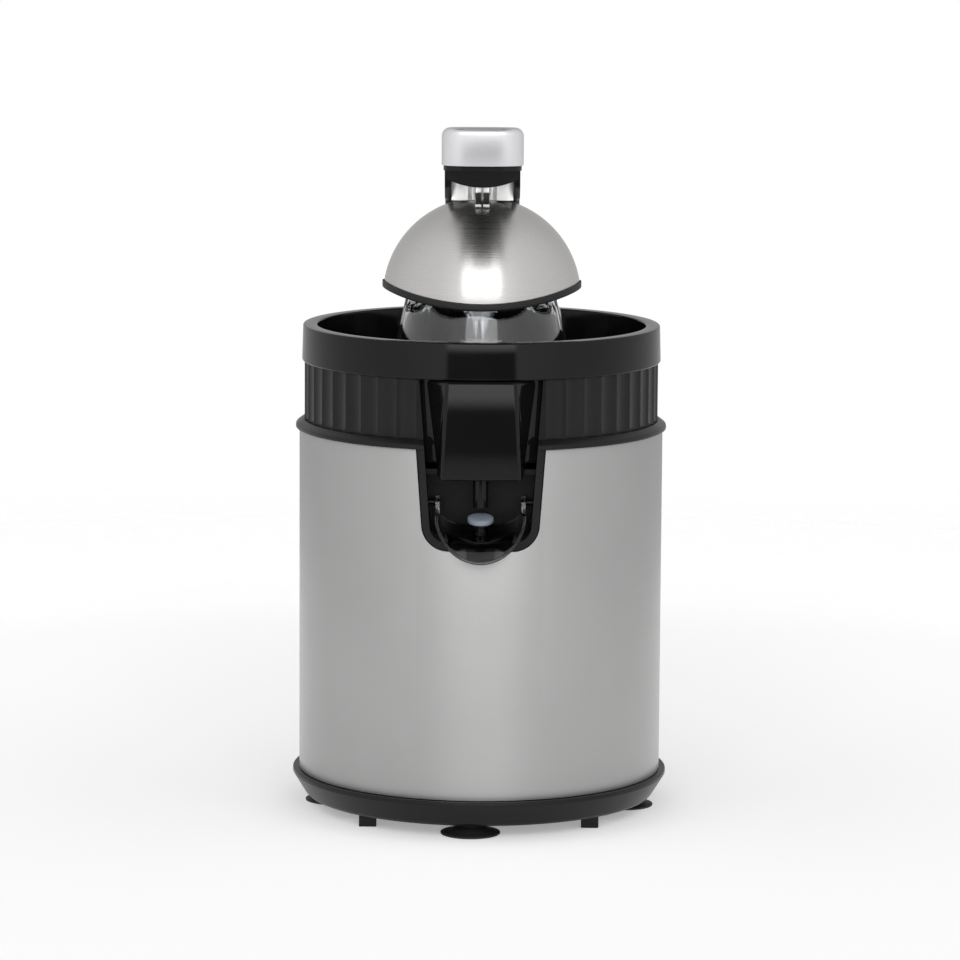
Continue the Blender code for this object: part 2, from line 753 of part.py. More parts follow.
def motor():
    """Can and end cap, hanging below the gear plate, with the rotor inside."""
    x, y = MOTOR_AT
    top = PLATE_BOTTOM - GAP
    low = top - MOTOR_LENGTH
    bore = MOTOR_SHAFT + RUNNING
    can = [
        (MOTOR_NOSE, top + PLATE_WALL),
        (MOTOR_NOSE, top),
        (MOTOR_RADIUS, top),
        (MOTOR_RADIUS, low),
        (MOTOR_RADIUS - MOTOR_WALL, low),
        (MOTOR_RADIUS - MOTOR_WALL, top - MOTOR_WALL),
        (bore, top - MOTOR_WALL),
        (bore, top + PLATE_WALL),
    ]
    turned("motor_can", can, 32, machined_steel(), None, (x, y, 0), closed=True)
    cap_low = low - 6 * MM
    cap = [
        (MOTOR_RADIUS, low - GAP),
        (MOTOR_RADIUS - 2 * MM, cap_low),
        (bore, cap_low),
        (bore, low - GAP),
    ]
    turned("motor_end_cap", cap, 32, white_nylon(), None, (x, y, 0), closed=True)
    spin = joint_at("motor_axis", (x, y, low))
    core = MOTOR_RADIUS - MOTOR_WALL - 4 * MM
    rotor = [
        (0, WHEEL_LEVEL[1] + 1 * MM),
        (MOTOR_SHAFT, WHEEL_LEVEL[1] + 1 * MM),
        (MOTOR_SHAFT, top - 6 * MM),
        (core, top - 8 * MM),
        (core, low + 10 * MM),
        (MOTOR_SHAFT, low + 8 * MM),
        (MOTOR_SHAFT, cap_low - 14 * MM),
        (0, cap_low - 14 * MM),
    ]
    turned("motor_rotor", rotor, 24, machined_steel(), spin, (x, y, 0))
    gap_at = pi + pi / MOTOR_PINION_TEETH
    bore = MOTOR_SHAFT + GAP
    gear("motor_pinion", MOTOR_PINION_TEETH, MOTOR_AT, WHEEL_LEVEL, bore, gap_at, brass(), spin)
    motor_fan(spin, cap_low - 12 * MM, bore)


def motor_fan(spin, low, bore):
    """Cooling fan below the motor: a hub with flat blades."""
    x, y = MOTOR_AT
    hub, tip, height = 6 * MM, MOTOR_RADIUS - 3 * MM, 8 * MM
    outlines = [circle(hub, SMALL, MOTOR_AT), circle(bore, SMALL, MOTOR_AT)]
    fan = prism("motor_fan", outlines, "XY", low, low + height, white_nylon(), spin)
    for i in range(6):
        root = (hub - 1.5 * MM, -0.8 * MM, low + 0.5 * MM)
        blade = box("fan_blade", root, (tip, 0.8 * MM, low + height - 0.5 * MM))
        blade.location = (x, y, 0)
        blade.rotation_euler = (0, 0, 2 * pi * i / 6)
        join(fan, blade)


def drive_spindle(spin):
    """The steel spindle, with the disc that throws juice clear of the seal."""
    splash = CHIMNEY_TOP + SPLASH_LIFT
    profile = [
        (0, SPINDLE_TOP),
        (SPINDLE_RADIUS - 0.6 * MM, SPINDLE_TOP),
        (SPINDLE_RADIUS, SPINDLE_TOP - 1 * MM),
        (SPINDLE_RADIUS, splash + 2 * MM),
        (SPLASH_RADIUS - 1 * MM, splash + 2 * MM),
        (SPLASH_RADIUS, splash + 1 * MM),
        (SPLASH_RADIUS, splash),
        (SPINDLE_RADIUS, splash),
        (SPINDLE_RADIUS, SPINDLE_BOTTOM),
        (0, SPINDLE_BOTTOM),
    ]
    turned("drive_spindle", profile, 20, machined_steel(), spin)


def press_switch():
    """The spindle's foot rests on a sprung cup, which presses a microswitch as the reamer is pushed down."""
    press = joint_at("press_axis", (0, 0, SPINDLE_BOTTOM))
    cup_top = SPINDLE_BOTTOM - GAP
    arm = 12.5 * MM
    cup = [
        (7 * MM, cup_top),
        (7 * MM, cup_top - 3.5 * MM),
        (3 * MM, cup_top - 3.5 * MM),
        (3 * MM, cup_top - 9 * MM),
        (0, cup_top - 9 * MM),
    ]
    thrust = turned("thrust_cup", [(0, cup_top)] + cup, SMALL, white_nylon(), press)
    low, high = (-arm - 3 * MM, -3 * MM, cup_top - 3 * MM), (-4 * MM, 3 * MM, cup_top - 0.5 * MM)
    join(thrust, box("cup_arm", low, high))
    floor = cup_top - 25 * MM
    wall = 2 * MM
    half, deep = 21 * MM, 9 * MM
    top = PLATE_BOTTOM - GAP
    outline = [
        (-half - 8 * MM, top),
        (-half - 8 * MM, top - wall),
        (-half, top - wall),
        (-half, floor - wall),
        (half - 4 * MM, floor - wall),
        (half - 4 * MM, floor),
        (wall - half, floor),
        (wall - half, top),
    ]
    prism("switch_bracket", [outline], "XZ", -deep, deep - 3 * MM, machined_steel())
    return_spring(press, floor + GAP, cup_top - 3.5 * MM - GAP)
    button_top = cup_top - 3 * MM - GAP
    body_top = button_top - 2.4 * MM
    low = (-half + wall + GAP, -4 * MM, body_top - 12 * MM)
    switch = box("microswitch", low, (-7 * MM, 4 * MM, body_top), gloss_black(), bevel=0.4 * MM)
    low, high = (-arm, 0, body_top - 4 * MM), (-arm, 0, body_top + 5 * MM)
    cut(switch, rod("button_bore", BUTTON_RADIUS + GAP, low, high))
    low, high = (-arm, 0, button_top - 4 * MM), (-arm, 0, button_top)
    rod("switch_button", BUTTON_RADIUS, low, high, brass(), press)


def return_spring(press, low, high):
    """Coil under the thrust cup."""
    turns, steps, wire, radius = 4, 10, 0.5 * MM, 5 * MM
    curve = bpy.data.curves.new("return_spring", "CURVE")
    curve.dimensions = "3D"
    curve.bevel_depth = wire
    curve.bevel_resolution = 1
    curve.use_fill_caps = True
    spline = curve.splines.new("POLY")
    count = turns * steps
    spline.points.add(count)
    for i, point in enumerate(spline.points):
        angle = 2 * pi * i / steps
        height = low + wire + (high - low - 2 * wire) * i / count
        point.co = (radius * cos(angle), radius * sin(angle), height, 1)
    obj = bpy.data.objects.new("return_spring", curve)
    PARTS.objects.link(obj)
    return add(mesh_of_curve(obj), machined_steel(), press)


def terminal_block():
    low = (-14 * MM, 58 * MM, FLOOR_TOP + GAP)
    high = (14 * MM, 70 * MM, FLOOR_TOP + 14 * MM)
    block = box("terminal_block", low, high, white_nylon(), bevel=0.6 * MM)
    for i in (-1, 0, 1):
        x, y = i * 8 * MM, (low[1] + high[1]) / 2
        bottom, top = (x, y, high[2] - 5 * MM), (x, y, high[2] + 5 * MM)
        cut(block, rod("terminal_hole", 1.8 * MM, bottom, top, sides=10))
    return block


# ---------------------------------------------------------------- juice bowl
def spout_shape():
    """The spout block: a narrow front face whose sides spread towards the bowl."""
    (face_low, face_high), (back_low, back_high) = SPOUT_FACE_HALF, SPOUT_BACK_HALF

    def reshape(corner):
        share = (corner.z - SPOUT_BOTTOM) / (COLLAR_TOP - SPOUT_BOTTOM)
        at_front = corner.y < -(SPOUT_FRONT + SPOUT_BACK) / 2
        first, last = (face_low, face_high) if at_front else (back_low, back_high)
        half = first + (last - first) * share
        return Vector((half if corner.x > 0 else -half, corner.y, corner.z))

    low, high = (-1, -SPOUT_FRONT, SPOUT_BOTTOM), (1, -SPOUT_BACK, COLLAR_TOP)
    return box("spout_block", low, high, bevel=1.2 * MM, reshape=reshape)


def juice_bowl():
    """Rim, wall, ledge for the strainer, floor, chimney over the hub, and the spout with its outlet tube."""
    inner = RING_RADIUS - 0.6 * MM - RING_WALL
    floor_top = BOWL_FLOOR + BOWL_WALL
    chimney_in = HUB_RADIUS + 1.3 * MM
    chimney_out = chimney_in + 2.2 * MM
    ring_low = COLLAR_TOP + GAP
    profile = [
        (RING_RADIUS - 0.9 * MM, RING_TOP),
        (RING_RADIUS - 0.6 * MM, RING_TOP - 0.8 * MM),
        (RING_RADIUS, ring_low + 1.2 * MM),
        (RING_RADIUS - 0.8 * MM, ring_low),
        (BOWL_RADIUS, ring_low),
        (BOWL_RADIUS, BOWL_FLOOR + 2 * MM),
        (BOWL_RADIUS - 2 * MM, BOWL_FLOOR),
        (chimney_in, BOWL_FLOOR),
        (chimney_in, CHIMNEY_TOP),
        (chimney_out, CHIMNEY_TOP),
        (chimney_out + 1.5 * MM, floor_top),
        (inner - 4.5 * MM, floor_top),
        (inner - 2 * MM, floor_top + 3 * MM),
        (inner - 2 * MM, STRAINER_AT),
        (inner, STRAINER_AT),
        (inner, RING_TOP - 0.8 * MM),
        (inner + 0.9 * MM, RING_TOP),
    ]
    bowl = turned("juice_bowl", profile, ROUND, gloss_black(), closed=True)
    block = spout_shape()
    low, high = (0, 0, BOWL_FLOOR + 1 * MM), (0, 0, RING_TOP)
    room = rod("bowl_room", BOWL_RADIUS - 1.2 * MM, low, high, sides=ROUND)
    join(bowl, cut(block, room))
    half, wall = 14 * MM, 3 * MM
    low = (-half, wall - SPOUT_FRONT, SPOUT_BOTTOM + wall)
    channel = box("channel", low, (half, -SPOUT_BACK + 2 * wall, floor_top + 18 * MM))
    low, high = (0, OUTLET_AT, OUTLET_END), (0, OUTLET_AT, SPOUT_BOTTOM + 2 * MM)
    tube = rod("tube", OUTLET_RADIUS, low, high, sides=20)
    low, high = (0, OUTLET_AT, OUTLET_END - 5 * MM), (0, OUTLET_AT, SPOUT_BOTTOM + 5 * MM)
    bore = rod("bore", OUTLET_BORE, low, high, sides=20)
    join(bowl, tube)
    return cut(bowl, channel, bore)


def strainer():
    """Slotted dish that rests on the bowl's ledge and keeps the pulp out."""
    outer = RING_RADIUS - 0.6 * MM - RING_WALL - GAP
    low = STRAINER_AT + GAP
    hole = HUB_RADIUS + 5.5 * MM
    profile = [
        (outer, low + 9 * MM),
        (outer, low),
        (hole, low),
        (hole, low + 9 * MM),
        (hole + 1.6 * MM, low + 9 * MM),
        (hole + 2.2 * MM, low + 1.8 * MM),
        (outer - 2 * MM, low + 1.8 * MM),
        (outer - 1.5 * MM, low + 9 * MM),
    ]
    dish = turned("strainer", profile, ROUND, satin_black(), closed=True)
    slots = bmesh.new()
    for c, s in around(STRAINER_SLOTS):
        made = bmesh.ops.create_cube(slots, size=1)["verts"]
        for vertex in made:
            radial = 66 * MM + vertex.co.x * 30 * MM
            across = vertex.co.y * 2.4 * MM
            level = low + vertex.co.z * 20 * MM
            vertex.co = (radial * c - across * s, radial * s + across * c, level)
    return cut(dish, add(from_bmesh("strainer_slots", slots)))


# ---------------------------------------------------------------- drip-stop flap
def scoop_section(y, depth, inset):
    """Half an ellipse below the pivot's height, at one place along the scoop."""
    half = FLAP_HALF - inset
    top = FLAP_PIVOT[1] - 1.5 * MM
    turns = (pi + pi * i / SCOOP_STEPS for i in range(SCOOP_STEPS + 1))
    return [Vector((half * cos(a), y, top + (depth - inset) * sin(a))) for a in turns]


def scoop_stations():
    """(y, depth) along the scoop, from its back to its lip."""
    deep_back, deep_shell, deep_lip = FLAP_DEPTHS
    back = -80 * MM
    return [
        (back, deep_back),
        (-99 * MM, deep_shell),
        (-104 * MM, deep_shell + 0.12 * (deep_lip - deep_shell)),
        (-109 * MM, deep_shell + 0.45 * (deep_lip - deep_shell)),
        (FLAP_LIP, deep_lip),
    ]


def scoop():
    """A loft between half-ellipse sections: the outside, and the same inside by the wall."""
    shape = bmesh.new()
    rows = []
    for inset in (0, FLAP_WALL):
        for y, depth in scoop_stations():
            rows.append([shape.verts.new(point) for point in scoop_section(y, depth, inset)])
    count = len(scoop_stations())
    for first in list(range(count - 1)) + list(range(count, 2 * count - 1)):
        for i in range(SCOOP_STEPS):
            here, there = rows[first], rows[first + 1]
            shape.faces.new((here[i], here[i + 1], there[i + 1], there[i]))
    for outer, inner in ((rows[0], rows[count]), (rows[count - 1], rows[-1])):
        for i in range(SCOOP_STEPS):
            shape.faces.new((outer[i], outer[i + 1], inner[i + 1], inner[i]))
    for i in (0, SCOOP_STEPS):
        for row in range(count - 1):
            edge = [rows[at][i] for at in (row, row + 1, count + row + 1, count + row)]
            shape.faces.new(edge)
    return shape


def drip_flap():
    """Clear scoop on two pins in the bay. Swung up, its silicone seal closes the outlet."""
    pivot = joint_at("flap_axis", (0, *FLAP_PIVOT))
    flap = add(from_bmesh("drip_flap", scoop()), smoke_plastic(), pivot)
    y, z = FLAP_PIVOT
    top = z - 1.5 * MM
    for side in (-1, 1):
        outline = rounded([
            (y + 3.4 * MM, z - 3.4 * MM, 3.2 * MM),
            (y + 3.4 * MM, z + 3.4 * MM, 3.2 * MM),
            (y - 12 * MM, z + 3 * MM, 2 * MM),
            (-86 * MM, top - 3 * MM, 0),
            (-84 * MM, top - 6 * MM, 0),
        ], 3)
        outer = side * FLAP_HALF
        inner = side * (FLAP_HALF - FLAP_EAR)
        ear = prism("flap_ear", [outline], "YZ", min(outer, inner), max(outer, inner))
        join(flap, ear)
        bore = FLAP_PIN + RUNNING
        start, end = (inner - side * 3 * MM, y, z), (outer + side * 3 * MM, y, z)
        cut(flap, rod("ear_bore", bore, start, end, sides=20))
    boss_top = SEAL_AT[2] - SEAL_THICKNESS / 2 - 3 * GAP
    foot = (0, OUTLET_AT + 2.5 * MM, z - FLAP_DEPTHS[1])
    join(flap, rod("seal_boss", 4 * MM, (0, OUTLET_AT, boss_top), foot))
    lean = Vector((0, -sin(FLAP_TRAVEL), cos(FLAP_TRAVEL))) * SEAL_THICKNESS / 2
    middle = Vector(SEAL_AT)
    rod("drip_seal", SEAL_RADIUS, middle - lean, middle + lean, blue_silicone(), pivot, sides=24)


# ---------------------------------------------------------------- reamer
def reamer_radius(height):
    """The skirt is a cone; above it the reamer closes in to its tip."""
    if height <= SKIRT_TOP:
        share = (height - REAMER_BOTTOM) / (SKIRT_TOP - REAMER_BOTTOM)
        return REAMER_RADIUS + share * (SKIRT_TOP_RADIUS - REAMER_RADIUS)
    share = (height - SKIRT_TOP) / (REAMER_TOP - SKIRT_TOP)
    return SKIRT_TOP_RADIUS * (1 - share**1.7)


def reamer_cone(spin):
    """Fluted cone with a hub that drops over the spindle."""
    rise = REAMER_TOP - SKIRT_TOP
    levels = [REAMER_BOTTOM, SKIRT_TOP - 3 * MM]
    levels += [SKIRT_TOP + share * rise for share in (0.12, 0.35, 0.6, 0.83)]
    sides = REAMER_FLUTES * 4
    shape = bmesh.new()
    rows = []
    for height in levels:
        depth = max(0, min(1, (height - SKIRT_TOP + 3 * MM) / (8 * MM))) * 0.16
        row = []
        for i in range(sides):
            angle = -pi / 2 + REAMER_TURN + 2 * pi * i / sides
            flute = sin(pi * i / 4) ** 2
            radius = reamer_radius(height) * (1 - depth * flute)
            row.append(shape.verts.new((radius * cos(angle), radius * sin(angle), height)))
        rows.append(row)
    for lower, upper in zip(rows, rows[1:]):
        for i in range(sides):
            after = (i + 1) % sides
            shape.faces.new((lower[i], lower[after], upper[after], upper[i]))
    tip = shape.verts.new((0, 0, REAMER_TOP))
    for i in range(sides):
        shape.faces.new((rows[-1][i], rows[-1][(i + 1) % sides], tip))
    reamer = add(from_bmesh("reamer_cone", shape), clear_plastic(), spin)
    wall = reamer.modifiers.new("wall", "SOLIDIFY")
    wall.thickness = REAMER_WALL
    wall.offset = -1
    hub_low = SPINDLE_TOP - 7 * MM
    hub = [
        (0, REAMER_TOP - 1 * MM),
        (3 * MM, REAMER_TOP - 3.5 * MM),
        (7 * MM, REAMER_TOP - 8 * MM),
        (8 * MM, REAMER_TOP - 12 * MM),
        (8 * MM, hub_low),
        (0, hub_low),
    ]
    join(reamer, turned("reamer_hub", hub, 18))
    low = (0, 0, hub_low - 5 * MM)
    cut(reamer, rod("reamer_bore", SPINDLE_RADIUS + GAP, low, (0, 0, SPINDLE_TOP + GAP), sides=20))


# ---------------------------------------------------------------- press dome
def rim_height(turn):
    """The rim above the sphere's centre: low at its front and back, and raised at its sides."""
    return DOME_RIM + DOME_RISE * cos(turn) ** 2


def lofted(name, rings, closed, finish=None, joint=None):
    """Faces between rings of points; the last ring joins the first, or both ends are capped."""
    shape = bmesh.new()
    rows = [[shape.verts.new(point) for point in ring] for ring in rings]
    pairs = list(zip(rows, rows[1:]))
    if closed:
        pairs.append((rows[-1], rows[0]))
    else:
        shape.faces.new(rows[0])
        shape.faces.new(rows[-1])
    for lower, upper in pairs:
        for i in range(len(lower)):
            after = (i + 1) % len(lower)
            shape.faces.new((lower[i], lower[after], upper[after], upper[i]))
    return add(from_bmesh(name, shape), finish, joint)


def dome_ring(sphere, top, share):
    """Points at a share of the way from the flat on top down to the rim, on a sphere."""
    ring = []
    for turn in (2 * pi * i / MEDIUM for i in range(MEDIUM)):
        start, end = acos(top / sphere), acos(rim_height(turn) / sphere)
        angle = start + (end - start) * share
        radius = sphere * sin(angle)
        ring.append((radius * cos(turn), radius * sin(turn), sphere * cos(angle) - DOME_DROP))
    return ring


def press_dome(tilt):
    """Steel dome: part of a sphere with a small flat on top, its origin on the neck pin's axis."""
    inside = DOME_RADIUS - DOME_WALL
    flat = sqrt(DOME_RADIUS**2 - DOME_FLAT**2)
    rings = [dome_ring(DOME_RADIUS, flat, i / 7) for i in range(8)]
    rings += [dome_ring(inside, flat - DOME_WALL, i / 5) for i in reversed(range(6))]
    dome = lofted("press_dome", rings, False, brushed_steel(), tilt)
    top = -DOME_DROP + flat
    high, low = (0, 0, top + 9 * MM), (0, 0, top - 9 * MM)
    return cut(dome, rod("dome_hole", SCREW_RADIUS + GAP, low, high, joint=tilt))


def dome_trim(tilt):
    """Soft edge that caps the dome's rim: one U section carried around the rim."""
    slot_out = GAP + 0.1 * MM
    slot_in = -DOME_WALL - 2 * GAP
    section = [
        (TRIM_OUT - 0.4 * MM, 1.1 * MM),
        (TRIM_OUT, 0.4 * MM),
        (TRIM_OUT, -2 * MM),
        (TRIM_OUT - 0.8 * MM, -3.1 * MM),
        (0.8 * MM - TRIM_IN, -3.1 * MM),
        (-TRIM_IN, -2.2 * MM),
        (-TRIM_IN, 1.1 * MM),
        (slot_in, 1.1 * MM),
        (slot_in, -GAP),
        (slot_out, -GAP),
        (slot_out, 1.1 * MM),
    ]
    rings = []
    for out, up in section:
        ring = []
        for turn in (2 * pi * i / MEDIUM for i in range(MEDIUM)):
            height = rim_height(turn)
            radius = sqrt(DOME_RADIUS**2 - height**2) + out
            ring.append((radius * cos(turn), radius * sin(turn), height + up - DOME_DROP))
        rings.append(ring)
    lofted("dome_trim", rings, True, black_rubber(), tilt)


def dome_neck(tilt):
    """Polished block between the lever's cheeks, with the lugs of the release tongue on its front."""
    low = -DOME_DROP + sqrt(DOME_RADIUS**2 - DOME_FLAT**2) + GAP
    high = 5.5 * MM
    lug_half, lug_front = 5.3 * MM, NECK_DEPTH + 3.2 * MM
    first, last = (-NECK_HALF, -NECK_DEPTH, low), (NECK_HALF, NECK_DEPTH, high)
    neck = box("dome_neck", first, last, bright_metal(), tilt, 0.6 * MM)
    first, last = (-lug_half, -lug_front, low + 1.5 * MM), (lug_half, 1 * MM - NECK_DEPTH, -1 * MM)
    join(neck, box("lugs", first, last, joint=tilt))
    slot = TONGUE_HALF + GAP
    first, last = (-slot, -lug_front - 5 * MM, low - 5 * MM), (slot, -NECK_DEPTH, high)
    cut(neck, box("tongue_slot", first, last, joint=tilt))
    for side in (-1, 1):
        first, last = side * (lug_half + GAP), side * (lug_half + 2.8 * MM)
        low_corner = (min(first, last), -NECK_DEPTH - 5 * MM, low - 5 * MM)
        high_corner = (max(first, last), 4 * MM - NECK_DEPTH, high + 5 * MM)
        cut(neck, box("groove", low_corner, high_corner, joint=tilt))
    first, last = (-2 * NECK_HALF, 0, 0), (2 * NECK_HALF, 0, 0)
    cut(neck, rod("neck_bore", PIN_RADIUS + RUNNING, first, last, joint=tilt, sides=20))
    first, last = (0, 0, low - 5 * MM), (0, 0, low + 9 * MM)
    cut(neck, rod("neck_tap", SCREW_RADIUS + GAP, first, last, joint=tilt))
    first, last = (-NECK_HALF, *TONGUE_AXIS), (NECK_HALF, *TONGUE_AXIS)
    cut(neck, rod("tongue_bore", LATCH_PIN + 0.2 * MM, first, last, joint=tilt))
    under = (0, 0, low - 2 * GAP - DOME_WALL)
    screw("dome_screw", under, (0, 0, 1), 9 * MM, SCREW_RADIUS, machined_steel(), tilt)


def release_tongue(tilt):
    """Sprung tongue in front of the neck, whose rounded end rests just off the dome."""
    pivot = joint_at("tongue_axis", (0, *TONGUE_AXIS))
    y, z = TONGUE_AXIS
    half, reach = 1.4 * MM, (12 * MM, 24 * MM)

    def over_dome(out, clear):
        """A height this far above the dome, at this distance from its axis."""
        return sqrt(DOME_RADIUS**2 - out * out) - DOME_DROP + clear

    outline = rounded([
        (y - half, z + 1.5 * MM, 1 * MM),
        (y + half, z + 1.5 * MM, 1 * MM),
        (y + half, over_dome(reach[0], 1.6 * MM), 0.8 * MM),
        (-reach[1], over_dome(reach[1], 0.7 * MM), 0),
        (-reach[1] - 0.6 * MM, over_dome(reach[1], 2.6 * MM), 0),
        (y - half, over_dome(reach[0], 3.6 * MM), 0.8 * MM),
    ], 3)
    tongue = prism("release_tongue", [outline], "YZ", -TONGUE_HALF, TONGUE_HALF, bright_metal(), pivot)
    low = (-SLIT_HALF, -reach[1] - 6 * MM, 48 * MM - DOME_DROP)
    slit = box("slit", low, (SLIT_HALF, 1.6 * MM - NECK_DEPTH, -9 * MM), joint=pivot)
    first, last = (-9 * MM, y, z), (9 * MM, y, z)
    cut(tongue, slit, rod("pin_hole", LATCH_PIN + 0.2 * MM, first, last, joint=pivot))
    first, last = (-5.2 * MM, y, z), (5.2 * MM, y, z)
    rod("tongue_pin", LATCH_PIN, first, last, machined_steel(), tilt)
    pivot.parent = tilt


def press_head():
    """The dome with its trim, neck, screw and tongue, tilted about the neck pin."""
    tilt = joint_at("dome_axis", (0, 0, 0))
    press_dome(tilt)
    dome_trim(tilt)
    dome_neck(tilt)
    release_tongue(tilt)
    tilt.location = NECK_PIN
    tilt.rotation_euler = (DOME_TILT, 0, 0)


# ---------------------------------------------------------------- lever
def lever_top(y):
    return GRIP_TOP - (y - LEVER_FRONT) * tan(LEVER_SLOPE)


def keel(hinge):
    """The grip's rounded underside, which reaches back between the cheeks."""
    middle = GRIP_KEEL + KEEL_RADIUS
    front, back = (0, LEVER_FRONT + 8 * MM, middle), (0, GRIP_BACK - 1 * MM, middle)
    round_bar = rod("keel", KEEL_RADIUS, front, back, joint=hinge, sides=64)
    half = LEVER_HALF - CHEEK / 2
    top = lever_top(GRIP_BACK) - 2 * MM
    within = box("keel_box", (-half, 2 * LEVER_FRONT, 0), (half, 0, top), joint=hinge)
    return boolean(round_bar, within, "INTERSECT")


def lever_body(hinge):
    """Black channel: a solid grip in front, cheeks beside the neck, and an eye around the hinge."""
    _, hinge_y, hinge_z = LEVER_HINGE
    web_back = hinge_y - LEVER_EYE - 3 * MM
    eye = [
        (hinge_y + LEVER_EYE * sin(a), hinge_z + LEVER_EYE * cos(a))
        for a in (pi * i / 8 for i in range(9))
    ]
    outline = [
        (LEVER_FRONT, GRIP_BOTTOM - 2.5 * MM),
        (LEVER_FRONT, GRIP_TOP),
        (web_back, lever_top(web_back)),
        *eye,
        (82 * MM, 338 * MM),
        (62 * MM, 329 * MM),
        (46 * MM, 328 * MM),
        (34 * MM, 334 * MM),
        (18 * MM, 341.5 * MM),
        (-10 * MM, 345 * MM),
        (GRIP_BACK, 352 * MM),
        (GRIP_BACK - 6 * MM, GRIP_BOTTOM - 6 * MM),
    ]
    lever = prism("lever_body", [outline], "YZ", -LEVER_HALF, LEVER_HALF, satin_black(), hinge)
    inner = LEVER_HALF - CHEEK

    def under_web(corner):
        height = lever_top(corner.y) - 3 * MM if corner.z > GRIP_BOTTOM else corner.z
        return Vector((corner.x, corner.y, height))

    low = (-inner, GRIP_BACK - 7 * MM, 300 * MM)
    high = (inner, web_back - 6 * MM, GRIP_TOP)
    channel = box("channel", low, high, joint=hinge, reshape=under_web)
    low = (-inner, web_back - 8 * MM, 300 * MM)
    high = (inner, hinge_y + 2 * LEVER_EYE, GRIP_TOP + 9 * MM)
    cut(lever, channel, box("rear_slot", low, high, joint=hinge))
    join(lever, keel(hinge))
    core = CAP_HALF - CAP_WALL - GAP
    for side in (-1, 1):
        low = (min(side * core, side * 2 * core), 2 * LEVER_FRONT, GRIP_BOTTOM - GAP)
        high = (max(side * core, side * 2 * core), CAP_BACK + GAP, 2 * GRIP_TOP)
        cut(lever, box("cap_seat", low, high, joint=hinge))
    for _, y, z in (LEVER_HINGE, NECK_PIN):
        start, end = (-2 * LEVER_HALF, y, z), (2 * LEVER_HALF, y, z)
        cut(lever, rod("cheek_bore", PIN_RADIUS + RUNNING, start, end, joint=hinge, sides=20))
    half = LEVER_HALF - 0.5 * MM
    start, end = (-half, *NECK_PIN[1:]), (half, *NECK_PIN[1:])
    rod("neck_pin", PIN_RADIUS, start, end, machined_steel(), hinge, sides=20)
    return lever


def lever_cap(hinge):
    """Silver cover over the grip, open below and at the back."""
    front = LEVER_FRONT - CAP_WALL - GAP
    half = CAP_HALF
    low, high = GRIP_BOTTOM, GRIP_TOP + CAP_WALL

    def slope(corner):
        lift = high - (corner.y - front) * tan(LEVER_SLOPE)
        return Vector((corner.x, corner.y, lift if corner.z > low else corner.z))

    first, last = (-half, front, low - 12 * MM), (half, CAP_BACK, high)
    cap = box("lever_cap", first, last, satin_silver(), hinge, CAP_BEVEL, slope)
    below = box("below_cap", (-2 * half, 2 * front, low - 40 * MM), (2 * half, 0, low), joint=hinge)
    first, last = (-2 * half, CAP_BACK - CAP_BEVEL - 1 * MM, 0), (2 * half, CAP_BACK + 9 * MM, 2 * high)
    cut(cap, below, box("behind_cap", first, last, joint=hinge))

    def core(corner):
        lift = lever_top(corner.y) + GAP
        return Vector((corner.x, corner.y, lift if corner.z > low else corner.z))

    inner = half - CAP_WALL
    first, last = (-inner, front + CAP_WALL, low - 20 * MM), (inner, 0, high)
    return cut(cap, box("cap_hollow", first, last, joint=hinge, reshape=core))


# ---------------------------------------------------------------- column
def column_hole(name, height):
    start, end = (0, BODY_RADIUS - 12 * MM, height), (0, BODY_RADIUS + 15 * MM, height)
    return rod(name, SCREW_RADIUS + GAP, start, end)


def body_envelope():
    """What the column stands clear of: the shell, the flange, and the bowl with room to lift it."""
    clear, high = 1.3 * MM, 2 * COLUMN_SHOULDER
    profile = [
        (0, high),
        (RING_RADIUS + clear, high),
        (RING_RADIUS + clear, FLANGE_TOP + GAP),
        (FLANGE_RADIUS + GAP, FLANGE_TOP + GAP),
        (FLANGE_RADIUS + GAP, BODY_TOP - FLANGE_LIP - GAP),
        (BODY_RADIUS + GAP, BODY_TOP - FLANGE_LIP - GAP),
        (BODY_RADIUS + GAP, 0),
        (0, 0),
    ]
    return turned("body_envelope", profile, 2 * ROUND)


